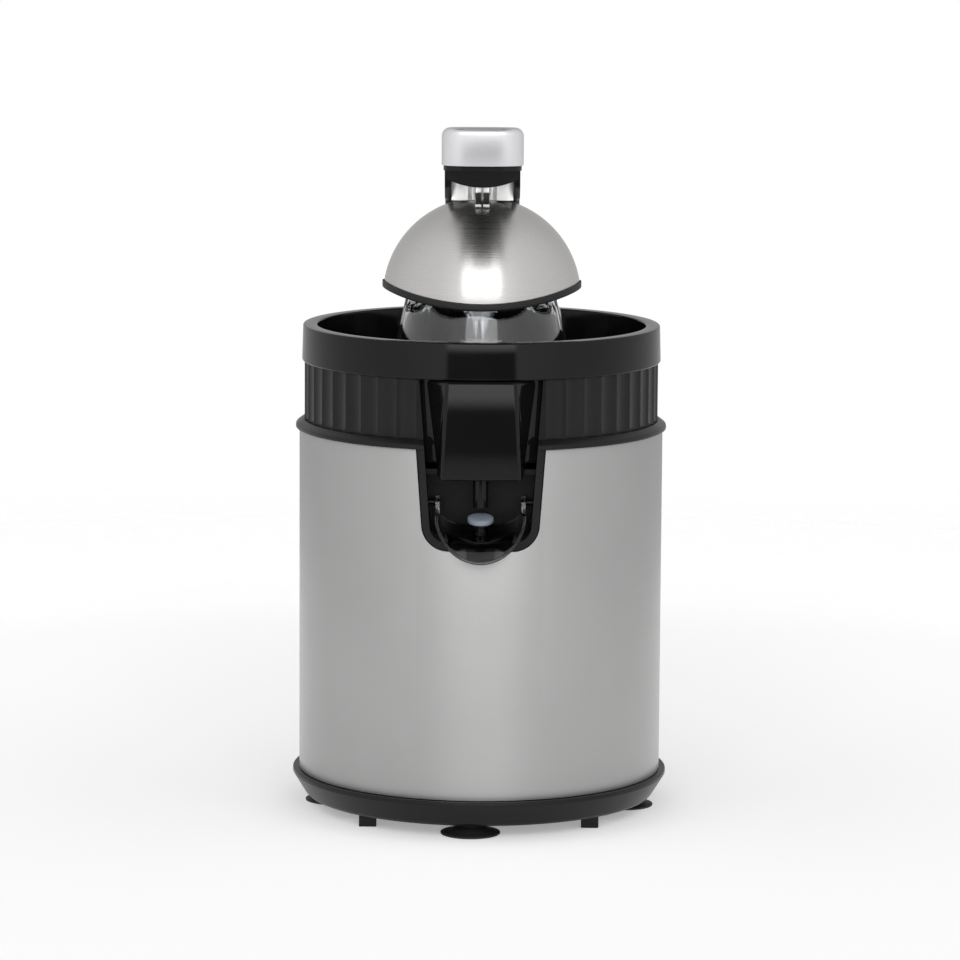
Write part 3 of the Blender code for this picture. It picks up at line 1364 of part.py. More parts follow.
def rear_column():
    """Hollow post behind the bowl, whose head carries the lever's hinge."""
    _, hinge_y, hinge_z = LEVER_HINGE
    head_half = LEVER_HALF - CHEEK - GAP
    head = LEVER_EYE - 0.8 * MM
    front = 96 * MM
    post = box(
        "rear_column",
        (-COLUMN_HALF, front - 30 * MM, COLUMN_FOOT),
        (COLUMN_HALF, COLUMN_BACK, COLUMN_SHOULDER),
        satin_black(),
        bevel=4 * MM,
    )
    cut(post, box("column_front", (-2 * COLUMN_HALF, 0, 0), (2 * COLUMN_HALF, front, 2 * hinge_z)))
    envelope = body_envelope()
    turns = (pi * i / 10 for i in range(11))
    outline = [(hinge_y + head * cos(a), hinge_z + head * sin(a)) for a in turns]
    outline += [(hinge_y + side * head, COLUMN_SHOULDER - 8 * MM) for side in (-1, 1)]
    join(post, prism("column_head", [outline], "YZ", -head_half, head_half))
    cut(post, envelope)
    wall = COLUMN_WALL
    low, high = COLUMN_FOOT + wall, COLUMN_SHOULDER - 12 * MM
    inner = COLUMN_HALF - wall
    hollow_front = FLANGE_RADIUS + GAP + wall
    cut(post, box("column_hollow", (-inner, hollow_front, low), (inner, COLUMN_BACK - wall, high)))
    cut(post, box("column_mouth", (-inner, 0, low), (inner, hollow_front + 1 * MM, BODY_TOP - 14 * MM)))
    for height in COLUMN_SCREWS:
        face = (0, BODY_RADIUS + GAP, height)
        join(post, rod("screw_boss", 4 * MM, face, (0, COLUMN_BACK - wall / 2, height)))
        cut(post, column_hole("column_screw_hole", height))
    bore = (-COLUMN_HALF * 2, hinge_y, hinge_z), (COLUMN_HALF * 2, hinge_y, hinge_z)
    cut(post, rod("head_bore", PIN_RADIUS + GAP, *bore, sides=20))
    for name, height in zip(("lower", "upper"), COLUMN_SCREWS):
        under = (0, SHELL_INSIDE - 0.4 * MM, height)
        screw(f"column_screw_{name}", under, (0, 1, 0), 12 * MM, SCREW_RADIUS, machined_steel())
    pin = LEVER_HALF - 0.5 * MM
    start, end = (-pin, hinge_y, hinge_z), (pin, hinge_y, hinge_z)
    rod("hinge_pin", PIN_RADIUS, start, end, machined_steel(), sides=20)
    return post


# ---------------------------------------------------------------- assembly
def main():
    base_pan()
    suction_feet()
    steel_shell()
    cord_gland()
    tie_bolts()
    upper_housing()
    spindle_bushes()
    shaft_seal()
    gear_plate()
    idler_gear()
    motor()
    press_switch()
    terminal_block()
    spin = joint_at("spindle_axis", (0, 0, SPINDLE_BOTTOM))
    output_gear(spin)
    drive_spindle(spin)
    reamer_cone(spin)
    juice_bowl()
    strainer()
    drip_flap()
    press_head()
    hinge = joint_at("lever_axis", LEVER_HINGE)
    lever_body(hinge)
    lever_cap(hinge)
    rear_column()


main()
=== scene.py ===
"""Looks of the citrus press juicer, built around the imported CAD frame.

Metres, +Z up, spout towards -Y. Each outer piece is a finely made shape that stands for the
CAD node it is named after. The inner nodes keep their CAD shape and get a finish of their own.
"""

import json
from math import acos, cos, exp, pi, radians, sin, sqrt, tan

import bmesh
import bpy
from mathutils import Matrix, Vector

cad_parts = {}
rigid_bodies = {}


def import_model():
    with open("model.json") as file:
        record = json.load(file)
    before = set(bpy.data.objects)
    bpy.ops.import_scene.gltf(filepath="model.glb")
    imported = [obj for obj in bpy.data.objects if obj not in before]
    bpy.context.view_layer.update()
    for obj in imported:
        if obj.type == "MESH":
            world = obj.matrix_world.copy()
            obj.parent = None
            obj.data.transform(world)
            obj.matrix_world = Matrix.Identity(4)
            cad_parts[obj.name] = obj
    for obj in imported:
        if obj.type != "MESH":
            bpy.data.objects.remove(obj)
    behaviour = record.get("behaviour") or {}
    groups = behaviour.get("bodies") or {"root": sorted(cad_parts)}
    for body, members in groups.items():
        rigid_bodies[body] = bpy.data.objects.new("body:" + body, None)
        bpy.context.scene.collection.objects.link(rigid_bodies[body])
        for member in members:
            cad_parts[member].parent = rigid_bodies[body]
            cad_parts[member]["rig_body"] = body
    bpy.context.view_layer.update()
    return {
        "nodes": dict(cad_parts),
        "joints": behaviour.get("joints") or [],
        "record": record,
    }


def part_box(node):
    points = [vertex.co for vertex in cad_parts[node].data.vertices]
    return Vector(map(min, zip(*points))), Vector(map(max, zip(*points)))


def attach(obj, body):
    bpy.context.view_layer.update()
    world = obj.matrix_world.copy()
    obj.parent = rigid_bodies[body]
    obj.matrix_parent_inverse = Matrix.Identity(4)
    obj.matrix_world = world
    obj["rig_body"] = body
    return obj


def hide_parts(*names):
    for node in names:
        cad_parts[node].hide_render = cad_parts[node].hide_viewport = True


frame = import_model()

MM = 0.001
FINE = 224  # sides of the body's large turned pieces
MEDIUM = 96
SMALL = 40
GAP = 0.3 * MM

# ---------------------------------------------------------------- sizes read from the frame
SHELL_LOW, SHELL_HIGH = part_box("steel_shell")
HOUSING_LOW, HOUSING_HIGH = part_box("upper_housing")
BOWL_LOW, BOWL_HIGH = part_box("juice_bowl")
BASE_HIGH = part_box("base_pan")[1]
FLAP_LOW, FLAP_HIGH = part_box("drip_flap")
REAMER_LOW, REAMER_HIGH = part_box("reamer_cone")
PIVOT = {joint["name"]: Vector(joint.get("pos_m", (0, 0, 0))) for joint in frame["joints"]}

BODY_RADIUS = SHELL_HIGH.x
BODY_TOP = SHELL_HIGH.z
FLANGE_RADIUS = HOUSING_HIGH.x
COLLAR_TOP = HOUSING_HIGH.z
RING_RADIUS = BOWL_HIGH.x
RING_TOP = BOWL_HIGH.z
BAY_BOTTOM = HOUSING_LOW.z

# ---------------------------------------------------------------- sizes of the details
SHELL_WALL = 0.8 * MM
SEAM_HALF = 0.25 * MM
FLOOR_UNDERSIDE = 7.2 * MM
FLOOR_TOP = 10 * MM
FOOT_CIRCLE = 82.3 * MM
FOOT_HOLE = 3.3 * MM
FOOT_RADIUS = 16.5 * MM
FOOT_NAMES = ("right", "rear", "left", "front")
VENTS = range(-3, 4)
VENT_PITCH = 9 * MM
VENT_HALF = (1.5 * MM, 24 * MM)
VENT_CORNER = 1.4 * MM
FOOT_TURN = radians(-3.2)
SKID_SIZE = (9.7 * MM, 6 * MM)
SKID_AT = (61.6 * MM, 65 * MM)
TIE_AT = (70 * MM, 50 * MM)
TIE_RADIUS = 2 * MM
LEGS_AT = (66 * MM, 27 * MM)
HOUSING_FLOOR = 201 * MM
HOUSING_WALL = 2.6 * MM
BOSS_RADIUS = 5 * MM
LEG_RADIUS = 4 * MM
PLATE_TOP = 163.5 * MM
COLLAR_RADIUS = 99.2 * MM
FLUTES = 52
FLUTE_DEPTH = 1.3 * MM
FLUTE_FULLNESS = 0.7  # under 1 makes a hollow rounder and its ridges sharper
FLANGE_TOP = 220.6 * MM
FLANGE_SHOULDER = 100.2 * MM  # the radius where its top starts to slope
FLANGE_DROP = 2.8 * MM
FLANGE_LIP = 1.5 * MM
HUB_RADIUS = 12 * MM
HUB_TOP = 250 * MM
BUSH_RADIUS = 7.7 * MM
BAY_HALF_TOP = 35.2 * MM
BAY_SLOPE = 0.0742
BAY_CORNER = 14 * MM
BAY_FRAME = 4.2 * MM
BAY_DEPTH = 35.5 * MM
BAY_FRAME_BACK = 96.6 * MM
BOWL_FLOOR = 207 * MM
BOWL_WALL = 2.5 * MM
BOWL_RADIUS = 94.5 * MM
RING_WALL = 8 * MM
CHIMNEY_TOP = 258 * MM
STRAINER_AT = 238 * MM
SLOTS = 18
SLOT_MIDDLE = 66 * MM
SLOT_SIZE = (30 * MM, 2.4 * MM, 20 * MM)
SPOUT_BOTTOM = 199 * MM
SPOUT_FRONT = 103.2 * MM
SPOUT_BACK = 88 * MM
BAY_MOUTH_BACK = SPOUT_BACK - 2 * GAP
SPOUT_FACE_HALF = (22 * MM, 18.5 * MM)
SPOUT_BACK_HALF = (23.4 * MM, 31 * MM)
OUTLET_AT = -92 * MM
OUTLET_RADIUS = 4.15 * MM
OUTLET_BORE = 2.9 * MM
FLAP_WALL = 1.6 * MM
FLAP_EAR = 2.2 * MM
FLAP_PIN = 1.6 * MM
FLAP_BACK = -80 * MM
FLAP_SHELL = -99 * MM
FLAP_DEPTHS = (12 * MM, 16.5 * MM, 27 * MM)
FLAP_TILT = radians(13)
SEAL_AT = Vector((0, -91.6 * MM, 176.6 * MM))
SEAL_RADIUS = 7.1 * MM
SEAL_THICKNESS = 3 * MM
SPINDLE_RADIUS = 4 * MM
SPINDLE_TOP = 283 * MM
SPINDLE_BOTTOM = 154 * MM
SPLASH_RADIUS = 11.5 * MM
SKIRT_TOP = 287 * MM
SKIRT_TOP_RADIUS = 43.4 * MM
REAMER_RADIUS = 49.5 * MM
REAMER_WALL = 2.2 * MM
REAMER_FLUTES = 9
REAMER_CUT = 0.17  # the share of the radius that a flute takes
REAMER_TURN = radians(-3)
DOME_TILT = radians(-2.2)
DOME_RADIUS = 55.4 * MM
DOME_DROP = 74 * MM
DOME_RIM = -1.8 * MM
DOME_RISE = 9.8 * MM
DOME_FLAT = 13 * MM
DOME_WALL = 1.2 * MM
TRIM_OUT = 0.9 * MM
TRIM_IN = 3.2 * MM
NECK_HALF = 17.2 * MM
NECK_DEPTH = 12 * MM
PIN_RADIUS = 3 * MM
TONGUE_HALF = 4 * MM
TONGUE_AXIS = (-13.7 * MM, -4.2 * MM)
TONGUE_BEND = 12 * MM  # its distances from the dome's axis
TONGUE_END = 24 * MM
SLIT_HALF = 0.55 * MM
LATCH_PIN = 0.8 * MM
LEVER_HALF = 20.9 * MM
CAP_HALF = 21.9 * MM
CAP_WALL = 1.6 * MM
CAP_BACK = -34 * MM
CAP_BULGE = 12 * MM
CAP_SQUARENESS = 0.77
CHEEK = 3.5 * MM
LEVER_SLOPE = radians(6)
LEVER_FRONT = -126 * MM
LEVER_EYE = 12 * MM
GRIP_TOP = 391.2 * MM
GRIP_BOTTOM = 371.6 * MM
GRIP_KEEL = 359.5 * MM
KEEL_RADIUS = 42 * MM
GRIP_BACK = -26 * MM
COLUMN_BACK = 128 * MM
COLUMN_FRONT = 96 * MM
COLUMN_HALF = 21 * MM
COLUMN_FOOT = 150 * MM
COLUMN_SHOULDER = 340.5 * MM
COLUMN_WALL = 2.5 * MM
COLUMN_SCREWS = (168 * MM, 194 * MM)
SCREW_RADIUS = 1.5 * MM
GLAND_HEIGHT = 46 * MM
GLAND_RADIUS = 6.5 * MM
ABOVE_ALL = 400 * MM

NOISE_RANGE = (0.3, 0.7)  # where most of a noise texture's values lie
QUARTER_TURN = 0.25  # of the anisotropic rotation, whose whole turn is 1

CAMERA_AT = (-0.0004, -2.641, 0.5663)
CAMERA_PITCH = radians(8.216)
CAMERA_ROLL = radians(0.345)
CAMERA_LENS = 177.6
CAMERA_SENSOR = 36
FLOOR_RADIUS = 1.3
FLOOR_SIDES = 96
FLOOR_FADE = (0.6, 1.28)
FLOOR_GLOW = 0.3
LIGHT_LEVEL = 4.0
# stops of (place, light): from the front (0) round to the back (1)
AROUND_LIGHT = [(0, 0.3), (0.12, 0.34), (0.3, 0.26), (0.6, 0.21), (0.85, 0.15), (1, 0.12)]
# and from below (0) past level (0.5) to above (1)
AHEAD_LIGHT = [(0, 0.03), (0.505, 0.03), (0.525, 0.9), (0.68, 0.95), (0.76, 0.03), (1, 0.05)]
# stops of (place, share) for the band ahead, across its width and from the front to the back
BAND_WIDTH = [(0, 1), (0.35, 1), (0.39, 0), (1, 0)]
BAND_REACH = [(0, 1), (0.7, 1), (0.78, 0), (1, 0)]

CORNERS = [(x, y) for x in (-1, 1) for y in (-1, 1)]


# ---------------------------------------------------------------- shape helpers
def add(obj):
    bpy.context.scene.collection.objects.link(obj)
    return obj


def from_bmesh(name, shape):
    bmesh.ops.recalc_face_normals(shape, faces=shape.faces)
    mesh = bpy.data.meshes.new(name)
    shape.to_mesh(mesh)
    shape.free()
    return add(bpy.data.objects.new(name, mesh))


def rounded(corners, steps=5):
    """An outline from (u, v) or (u, v, radius) corners, where a radius turns the corner into an arc."""
    outline = []
    for i, (u, v, *radius) in enumerate(corners):
        if not radius or not radius[0]:
            outline.append((u, v))
            continue
        corner = Vector((u, v))
        before = Vector(corners[i - 1][:2]) - corner
        after = Vector(corners[(i + 1) % len(corners)][:2]) - corner
        half = before.angle(after) / 2
        reach = min(radius[0] / tan(half), 0.49 * before.length, 0.49 * after.length)
        size = reach * tan(half)
        before.normalize()
        after.normalize()
        centre = corner + (before + after).normalized() * size / sin(half)
        first = corner + before * reach - centre
        turn = first.angle_signed(corner + after * reach - centre)
        for step in range(steps + 1):
            angle = -turn * step / steps
            x = first.x * cos(angle) - first.y * sin(angle)
            y = first.x * sin(angle) + first.y * cos(angle)
            outline.append((centre.x + x, centre.y + y))
    return outline


def turned(name, corners, sides=FINE, steps=5):
    """A profile of (radius, height, rounding) corners turned about +Z.

    It is a loop unless it starts on the axis.
    """
    shape = bmesh.new()
    rings = []
    for radius, height in rounded(corners, steps):
        count = sides if radius > 0 else 1
        turns = (2 * pi * i / count for i in range(count))
        rings.append([shape.verts.new((radius * cos(a), radius * sin(a), height)) for a in turns])
    pairs = list(zip(rings, rings[1:]))
    if corners[0][0] > 0:
        pairs.append((rings[-1], rings[0]))
    for lower, upper in pairs:
        for i in range(sides):
            after = (i + 1) % sides
            corner = [lower[i % len(lower)], lower[after % len(lower)]]
            corner += [upper[after % len(upper)], upper[i % len(upper)]]
            face = list(dict.fromkeys(corner))
            if len(face) > 2:
                shape.faces.new(face)
    return from_bmesh(name, shape)


AXES = {
    "XY": lambda u, v, w: (u, v, w),
    "XZ": lambda u, v, w: (u, w, v),
    "YZ": lambda u, v, w: (w, u, v),
}


def prism(name, outline, plane, start, end):
    """A closed outline in a plane, filled and extruded along the plane's normal."""
    shape = bmesh.new()
    ends = [[shape.verts.new(AXES[plane](u, v, w)) for u, v in outline] for w in (start, end)]
    for ring in ends:
        shape.faces.new(ring)
    count = len(outline)
    for i in range(count):
        after = (i + 1) % count
        shape.faces.new((ends[0][i], ends[0][after], ends[1][after], ends[1][i]))
    return from_bmesh(name, shape)


def box(name, low, high, reshape=None):
    low, high = Vector(low), Vector(high)
    shape = bmesh.new()
    bmesh.ops.create_cube(shape, size=1)
    for vertex in shape.verts:
        place = (low + high) / 2
        vertex.co = Vector(m + s * c for m, s, c in zip(place, high - low, vertex.co))
        if reshape:
            vertex.co = reshape(vertex.co)
    return from_bmesh(name, shape)


def rod(name, radius, start, end, sides=SMALL):
    start, end = Vector(start), Vector(end)
    along = end - start
    shape = bmesh.new()
    matrix = Matrix.Translation((start + end) / 2) @ along.to_track_quat("Z", "Y").to_matrix().to_4x4()
    bmesh.ops.create_cone(
        shape, cap_ends=True, segments=sides, radius1=radius, radius2=radius,
        depth=along.length, matrix=matrix,
    )
    return from_bmesh(name, shape)


def upright(name, radius, at, low, high):
    return rod(name, radius, (*at, low), (*at, high))


def crosswise(name, radius, half, y, z):
    return rod(name, radius, (-half, y, z), (half, y, z))


def settle(obj):
    """Makes what the modifiers give the object's own mesh."""
    bpy.context.view_layer.update()
    graph = bpy.context.evaluated_depsgraph_get()
    mesh = bpy.data.meshes.new_from_object(obj.evaluated_get(graph))
    obj.modifiers.clear()
    obj.data = mesh
    return obj


def combine(obj, others, operation):
    for other in others:
        step = obj.modifiers.new("combine", "BOOLEAN")
        step.operation = operation
        step.object = other
        step.solver = "EXACT"
    settle(obj)
    for other in others:
        bpy.data.objects.remove(other)
    return obj


def cut(obj, *others):
    return combine(obj, others, "DIFFERENCE")


def join(obj, *others):
    return combine(obj, others, "UNION")


def soften(obj, width, segments=3, angle=35):
    """Rounds the edges that are sharper than an angle."""
    rounding = obj.modifiers.new("soften", "BEVEL")
    rounding.width = width
    rounding.segments = segments
    rounding.limit_method = "ANGLE"
    rounding.angle_limit = radians(angle)
    return settle(obj)


def around(count, turn=0.0):
    return [(cos(turn + 2 * pi * i / count), sin(turn + 2 * pi * i / count)) for i in range(count)]


def place(obj, matrix):
    obj.matrix_world = matrix
    return obj


def finish(obj, node, material, sharp=32):
    """Gives a piece its material and edges, and puts it in the place of its CAD node."""
    obj.name = f"{node}_piece"
    obj.data.materials.clear()
    obj.data.materials.append(material)
    obj.data.shade_smooth()
    obj.data.set_sharp_from_angle(angle=radians(sharp))
    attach(obj, frame["nodes"][node]["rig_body"])
    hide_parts(node)
    return obj


# ---------------------------------------------------------------- material helpers
def new_material(name, colour, roughness, metallic=0.0, **sockets):
    made = bpy.data.materials.new(name)
    made.use_nodes = True
    shader = made.node_tree.nodes["Principled BSDF"]
    shader.inputs["Base Color"].default_value = (*colour, 1)
    shader.inputs["Roughness"].default_value = roughness
    shader.inputs["Metallic"].default_value = metallic
    for socket, value in sockets.items():
        shader.inputs[socket.replace("_", " ")].default_value = value
    made.diffuse_color = (*colour, 1)
    return made, made.node_tree, shader


def length_of(tree, source):
    length = tree.nodes.new("ShaderNodeVectorMath")
    length.operation = "LENGTH"
    tree.links.new(source, length.inputs[0])
    return length.outputs["Value"]


def noise(tree, scale, detail=3.0, radial=False):
    """Noise in the object's own metres, stretched by a scale for each axis; radial swaps x for the radius."""
    coordinates = tree.nodes.new("ShaderNodeTexCoord").outputs["Object"]
    if radial:
        split = tree.nodes.new("ShaderNodeSeparateXYZ")
        tree.links.new(coordinates, split.inputs[0])
        flat = tree.nodes.new("ShaderNodeVectorMath")
        flat.operation = "MULTIPLY"
        flat.inputs[1].default_value = (1, 1, 0)
        tree.links.new(coordinates, flat.inputs[0])
        gather = tree.nodes.new("ShaderNodeCombineXYZ")
        tree.links.new(length_of(tree, flat.outputs[0]), gather.inputs[0])
        tree.links.new(split.outputs[2], gather.inputs[2])
        coordinates = gather.outputs[0]
    mapping = tree.nodes.new("ShaderNodeMapping")
    mapping.inputs["Scale"].default_value = scale
    tree.links.new(coordinates, mapping.inputs["Vector"])
    texture = tree.nodes.new("ShaderNodeTexNoise")
    texture.inputs["Scale"].default_value = 1.0
    texture.inputs["Detail"].default_value = detail
    tree.links.new(mapping.outputs[0], texture.inputs["Vector"])
    return texture.outputs["Fac"]


def vary(tree, source, socket, low, high, within=NOISE_RANGE):
    spread = tree.nodes.new("ShaderNodeMapRange")
    spread.inputs["From Min"].default_value = within[0]
    spread.inputs["From Max"].default_value = within[1]
    spread.inputs["To Min"].default_value = low
    spread.inputs["To Max"].default_value = high
    tree.links.new(source, spread.inputs["Value"])
    tree.links.new(spread.outputs["Result"], socket)


def tint(tree, source, socket, first, last):
    ramp = tree.nodes.new("ShaderNodeValToRGB")
    ramp.color_ramp.elements[0].position = NOISE_RANGE[0]
    ramp.color_ramp.elements[1].position = NOISE_RANGE[1]
    ramp.color_ramp.elements[0].color = (*first, 1)
    ramp.color_ramp.elements[1].color = (*last, 1)
    tree.links.new(source, ramp.inputs["Fac"])
    tree.links.new(ramp.outputs["Color"], socket)


def shade(colour, share):
    return tuple(min(1, share * c) for c in colour)


def relief(tree, source, shader, depth, strength=1.0):
    bump = tree.nodes.new("ShaderNodeBump")
    bump.inputs["Distance"].default_value = depth
    bump.inputs["Strength"].default_value = strength
    tree.links.new(source, bump.inputs["Height"])
    tree.links.new(bump.outputs["Normal"], shader.inputs["Normal"])


def spun_steel(name, level, roughness, anisotropy, warmth, depth=0.000012):
    """Stainless steel brushed around its own Z axis, with highlights that stretch across the brushing."""
    colour = (level * (1 + warmth), level, level * (1 - warmth))
    made, tree, shader = new_material(
        name, colour, roughness, 1.0, Anisotropic=anisotropy, Anisotropic_Rotation=QUARTER_TURN
    )
    grain = noise(tree, (6, 6, 2600), 2.0)
    cloud = noise(tree, (14, 14, 9), 3.0)
    lines = noise(tree, (3400, 0, 3400), 2.0, radial=True)
    tint(tree, cloud, shader.inputs["Base Color"], shade(colour, 0.96), shade(colour, 1.04))
    vary(tree, lines, shader.inputs["Roughness"], roughness - 0.04, roughness + 0.05)
    relief(tree, grain, shader, depth)
    tangent = tree.nodes.new("ShaderNodeTangent")
    tangent.direction_type = "RADIAL"
    tangent.axis = "Z"
    tree.links.new(tangent.outputs[0], shader.inputs["Tangent"])
    return made


def moulded(name, colour, roughness, specular=0.35, texture=900, depth=0.00001, spread=0.06):
    """Moulded plastic or rubber: a fine surface texture, and slightly uneven gloss and colour."""
    made, tree, shader = new_material(name, colour, roughness, 0.0, Specular_IOR_Level=specular)
    skin = noise(tree, (texture, texture, texture), 2.0)
    cloud = noise(tree, (22, 22, 22), 4.0)
    tint(tree, cloud, shader.inputs["Base Color"], shade(colour, 0.88), shade(colour, 1.12))
    vary(tree, cloud, shader.inputs["Roughness"], max(0.02, roughness - spread), roughness + spread)
    relief(tree, skin, shader, depth)
    return made


def metal(name, colour, roughness, scale=(700, 700, 700), depth=0.000006, spread=0.05):
    """Bare or plated metal with fine machining marks and small changes of gloss."""
    made, tree, shader = new_material(name, colour, roughness, 1.0)
    marks = noise(tree, scale, 2.0)
    cloud = noise(tree, (35, 35, 35), 3.0)
    tint(tree, cloud, shader.inputs["Base Color"], shade(colour, 0.93), shade(colour, 1.05))
    vary(tree, marks, shader.inputs["Roughness"], max(0.02, roughness - spread), roughness + spread)
    relief(tree, marks, shader, depth)
    return made


def painted_silver():
    """Metallic lacquer: fine flakes under a soft gloss."""
    colour = (0.62, 0.62, 0.64)
    made, tree, shader = new_material("satin_silver", colour, 0.34, 0.75, Coat_Weight=0.25)
    flakes = noise(tree, (5200, 5200, 5200), 1.0)
    cloud = noise(tree, (30, 30, 30), 3.0)
    tint(tree, flakes, shader.inputs["Base Color"], (0.56, 0.56, 0.58), (0.68, 0.68, 0.70))
    vary(tree, cloud, shader.inputs["Roughness"], 0.31, 0.38)
    relief(tree, flakes, shader, 0.000003)
    return made


def clear(name, colour, roughness):
    """Clear moulded plastic with faint flow lines and an uneven polish."""
    made, tree, shader = new_material(name, colour, roughness, 0.0, Transmission_Weight=1.0, IOR=1.5)
    flow = noise(tree, (60, 60, 25), 3.0)
    vary(tree, flow, shader.inputs["Roughness"], roughness, roughness + 0.03)
    relief(tree, flow, shader, 0.00008, 0.6)
    return made


SHELL_STEEL = spun_steel("shell_steel", 0.40, 0.36, 0.8, 0.004)
DOME_STEEL = spun_steel("dome_steel", 0.53, 0.27, 0.85, 0.018)
GLOSS_BLACK = moulded("gloss_black", (0.005, 0.005, 0.0055), 0.07, 0.19, 300, 0.000004, 0.02)
SATIN_BLACK = moulded("satin_black", (0.006, 0.006, 0.0063), 0.3, 0.2, 1500, 0.000014)
BLACK_RUBBER = moulded("black_rubber", (0.012, 0.012, 0.012), 0.55, 0.3, 2200, 0.00002)
BLUE_SILICONE = moulded("blue_silicone", (0.20, 0.235, 0.28), 0.45, 0.4, 1500, 0.00001)
WHITE_NYLON = moulded("white_nylon", (0.74, 0.73, 0.68), 0.42, 0.45, 1300, 0.000012)
BRIGHT_METAL = metal("bright_metal", (0.84, 0.84, 0.83), 0.33)
MACHINED_STEEL = metal("machined_steel", (0.52, 0.52, 0.53), 0.26, (300, 300, 2400), 0.00001)
SHAFT_STEEL = metal("shaft_steel", (0.66, 0.66, 0.68), 0.16, (200, 200, 2600), 0.000006)
BRASS = metal("brass", (0.68, 0.47, 0.2), 0.3, (900, 900, 900), 0.00001)
SATIN_SILVER = painted_silver()
CLEAR_PLASTIC = clear("clear_plastic", (0.80, 0.81, 0.82), 0.01)
SMOKE_PLASTIC = clear("smoke_plastic", (0.15, 0.15, 0.15), 0.02)


# ---------------------------------------------------------------- base
def base_pan():
    inside = BODY_RADIUS - SHELL_WALL - GAP
    lip = BASE_HIGH.x
    edge = BODY_RADIUS - 3.2 * MM
    rim = SHELL_LOW.z - GAP
    wall = inside - HOUSING_WALL
    pan = turned("pan", [
        (0, FLOOR_TOP),
        (edge - 4 * MM, FLOOR_TOP, 2 * MM),
        (wall, rim - 2 * MM, 1 * MM),
        (wall, rim + 12 * MM, 0.5 * MM),
        (inside, rim + 12 * MM, 0.5 * MM),
        (inside, rim),
        (lip, rim, 0.7 * MM),
        (lip, rim - 2.2 * MM, 0.9 * MM),
        (edge, FLOOR_UNDERSIDE + 1.4 * MM, 1 * MM),
        (edge - 1.3 * MM, FLOOR_UNDERSIDE, 0.6 * MM),
        (0, FLOOR_UNDERSIDE),
    ])
    cutters = []
    for x, y in CORNERS:
        middle = Vector((x * SKID_AT[0], y * SKID_AT[1], 0))
        half = Vector((SKID_SIZE[0] / 2, SKID_SIZE[1] / 2, 0))
        top = Vector((0, 0, FLOOR_UNDERSIDE + 1 * MM))
        join(pan, soften(box("skid", middle - half, middle + half + top), 0.5 * MM))
        at = (x * TIE_AT[0], y * TIE_AT[1])
        cutters.append(upright("tie_hole", TIE_RADIUS + GAP, at, 0, 2 * FLOOR_TOP))
    for c, s in around(4, FOOT_TURN):
        at = (c * FOOT_CIRCLE, s * FOOT_CIRCLE)
        cutters.append(upright("foot_hole", FOOT_HOLE, at, 0, 2 * FLOOR_TOP))
    across, along = VENT_HALF
    for i in VENTS:
        x = i * VENT_PITCH
        slot = rounded([
            (x - across, -along, VENT_CORNER),
            (x + across, -along, VENT_CORNER),
            (x + across, along, VENT_CORNER),
            (x - across, along, VENT_CORNER),
        ])
        cutters.append(prism("vent", slot, "XY", 0, 2 * FLOOR_TOP))
    finish(cut(pan, *cutters), "base_pan", SATIN_BLACK)


def suction_feet():
    for name, (c, s) in zip(FOOT_NAMES, around(4, FOOT_TURN)):
        foot = turned("foot", [
            (0, FLOOR_TOP + 4.5 * MM),
            (2.2 * MM, FLOOR_TOP + 4.5 * MM, 0.6 * MM),
            (4.4 * MM, FLOOR_TOP + 1.5 * MM, 0.4 * MM),
            (4.4 * MM, FLOOR_TOP + GAP),
            (3 * MM, FLOOR_TOP + GAP),
            (3 * MM, FLOOR_UNDERSIDE - GAP),
            (6.2 * MM, FLOOR_UNDERSIDE - GAP, 0.5 * MM),
            (6.6 * MM, 4.6 * MM, 2 * MM),
            (12 * MM, 2.0 * MM, 4 * MM),
            (FOOT_RADIUS, 1.0 * MM, 0.35 * MM),
            (FOOT_RADIUS, 0, 0.3 * MM),
            (15.3 * MM, 0, 0.2 * MM),
            (0, 2.8 * MM),
        ], MEDIUM)
        place(foot, Matrix.Translation((c * FOOT_CIRCLE, s * FOOT_CIRCLE, 0)))
        finish(foot, f"suction_foot_{name}", BLACK_RUBBER)


# ---------------------------------------------------------------- shell
def recess_half(height):
    return BAY_HALF_TOP - (BODY_TOP - height) * BAY_SLOPE


def recess_outline(inset, top, low=None):
    low = (BAY_BOTTOM if low is None else low) + inset
    upper, lower = recess_half(top) - inset, recess_half(low) - inset
    radius = BAY_CORNER - inset
    corners = [(-upper, top), (-lower, low, radius), (lower, low, radius), (upper, top)]
    return rounded(corners, 14)


def steel_shell():
    inside = BODY_RADIUS - SHELL_WALL
    shell = turned("shell", [
        (BODY_RADIUS, BODY_TOP, 0.2 * MM),
        (BODY_RADIUS, SHELL_LOW.z, 0.3 * MM),
        (inside, SHELL_LOW.z, 0.3 * MM),
        (inside, BODY_TOP, 0.2 * MM),
    ], steps=2)
    recess = recess_outline(-GAP, BODY_TOP + 10 * MM)
    opening = prism("recess", recess, "XZ", -BODY_RADIUS - 9 * MM, -BAY_MOUTH_BACK)
    near, far = BODY_RADIUS - SEAM_HALF, BODY_RADIUS + 1 * MM
    seam = box("seam", (-SEAM_HALF, near, 0), (SEAM_HALF, far, COLUMN_FOOT))
    near, far = BODY_RADIUS - 9 * MM, BODY_RADIUS + 9 * MM
    gland = rod("gland", GLAND_RADIUS + GAP, (0, near, GLAND_HEIGHT), (0, far, GLAND_HEIGHT))
    finish(cut(shell, opening, seam, gland), "steel_shell", SHELL_STEEL)


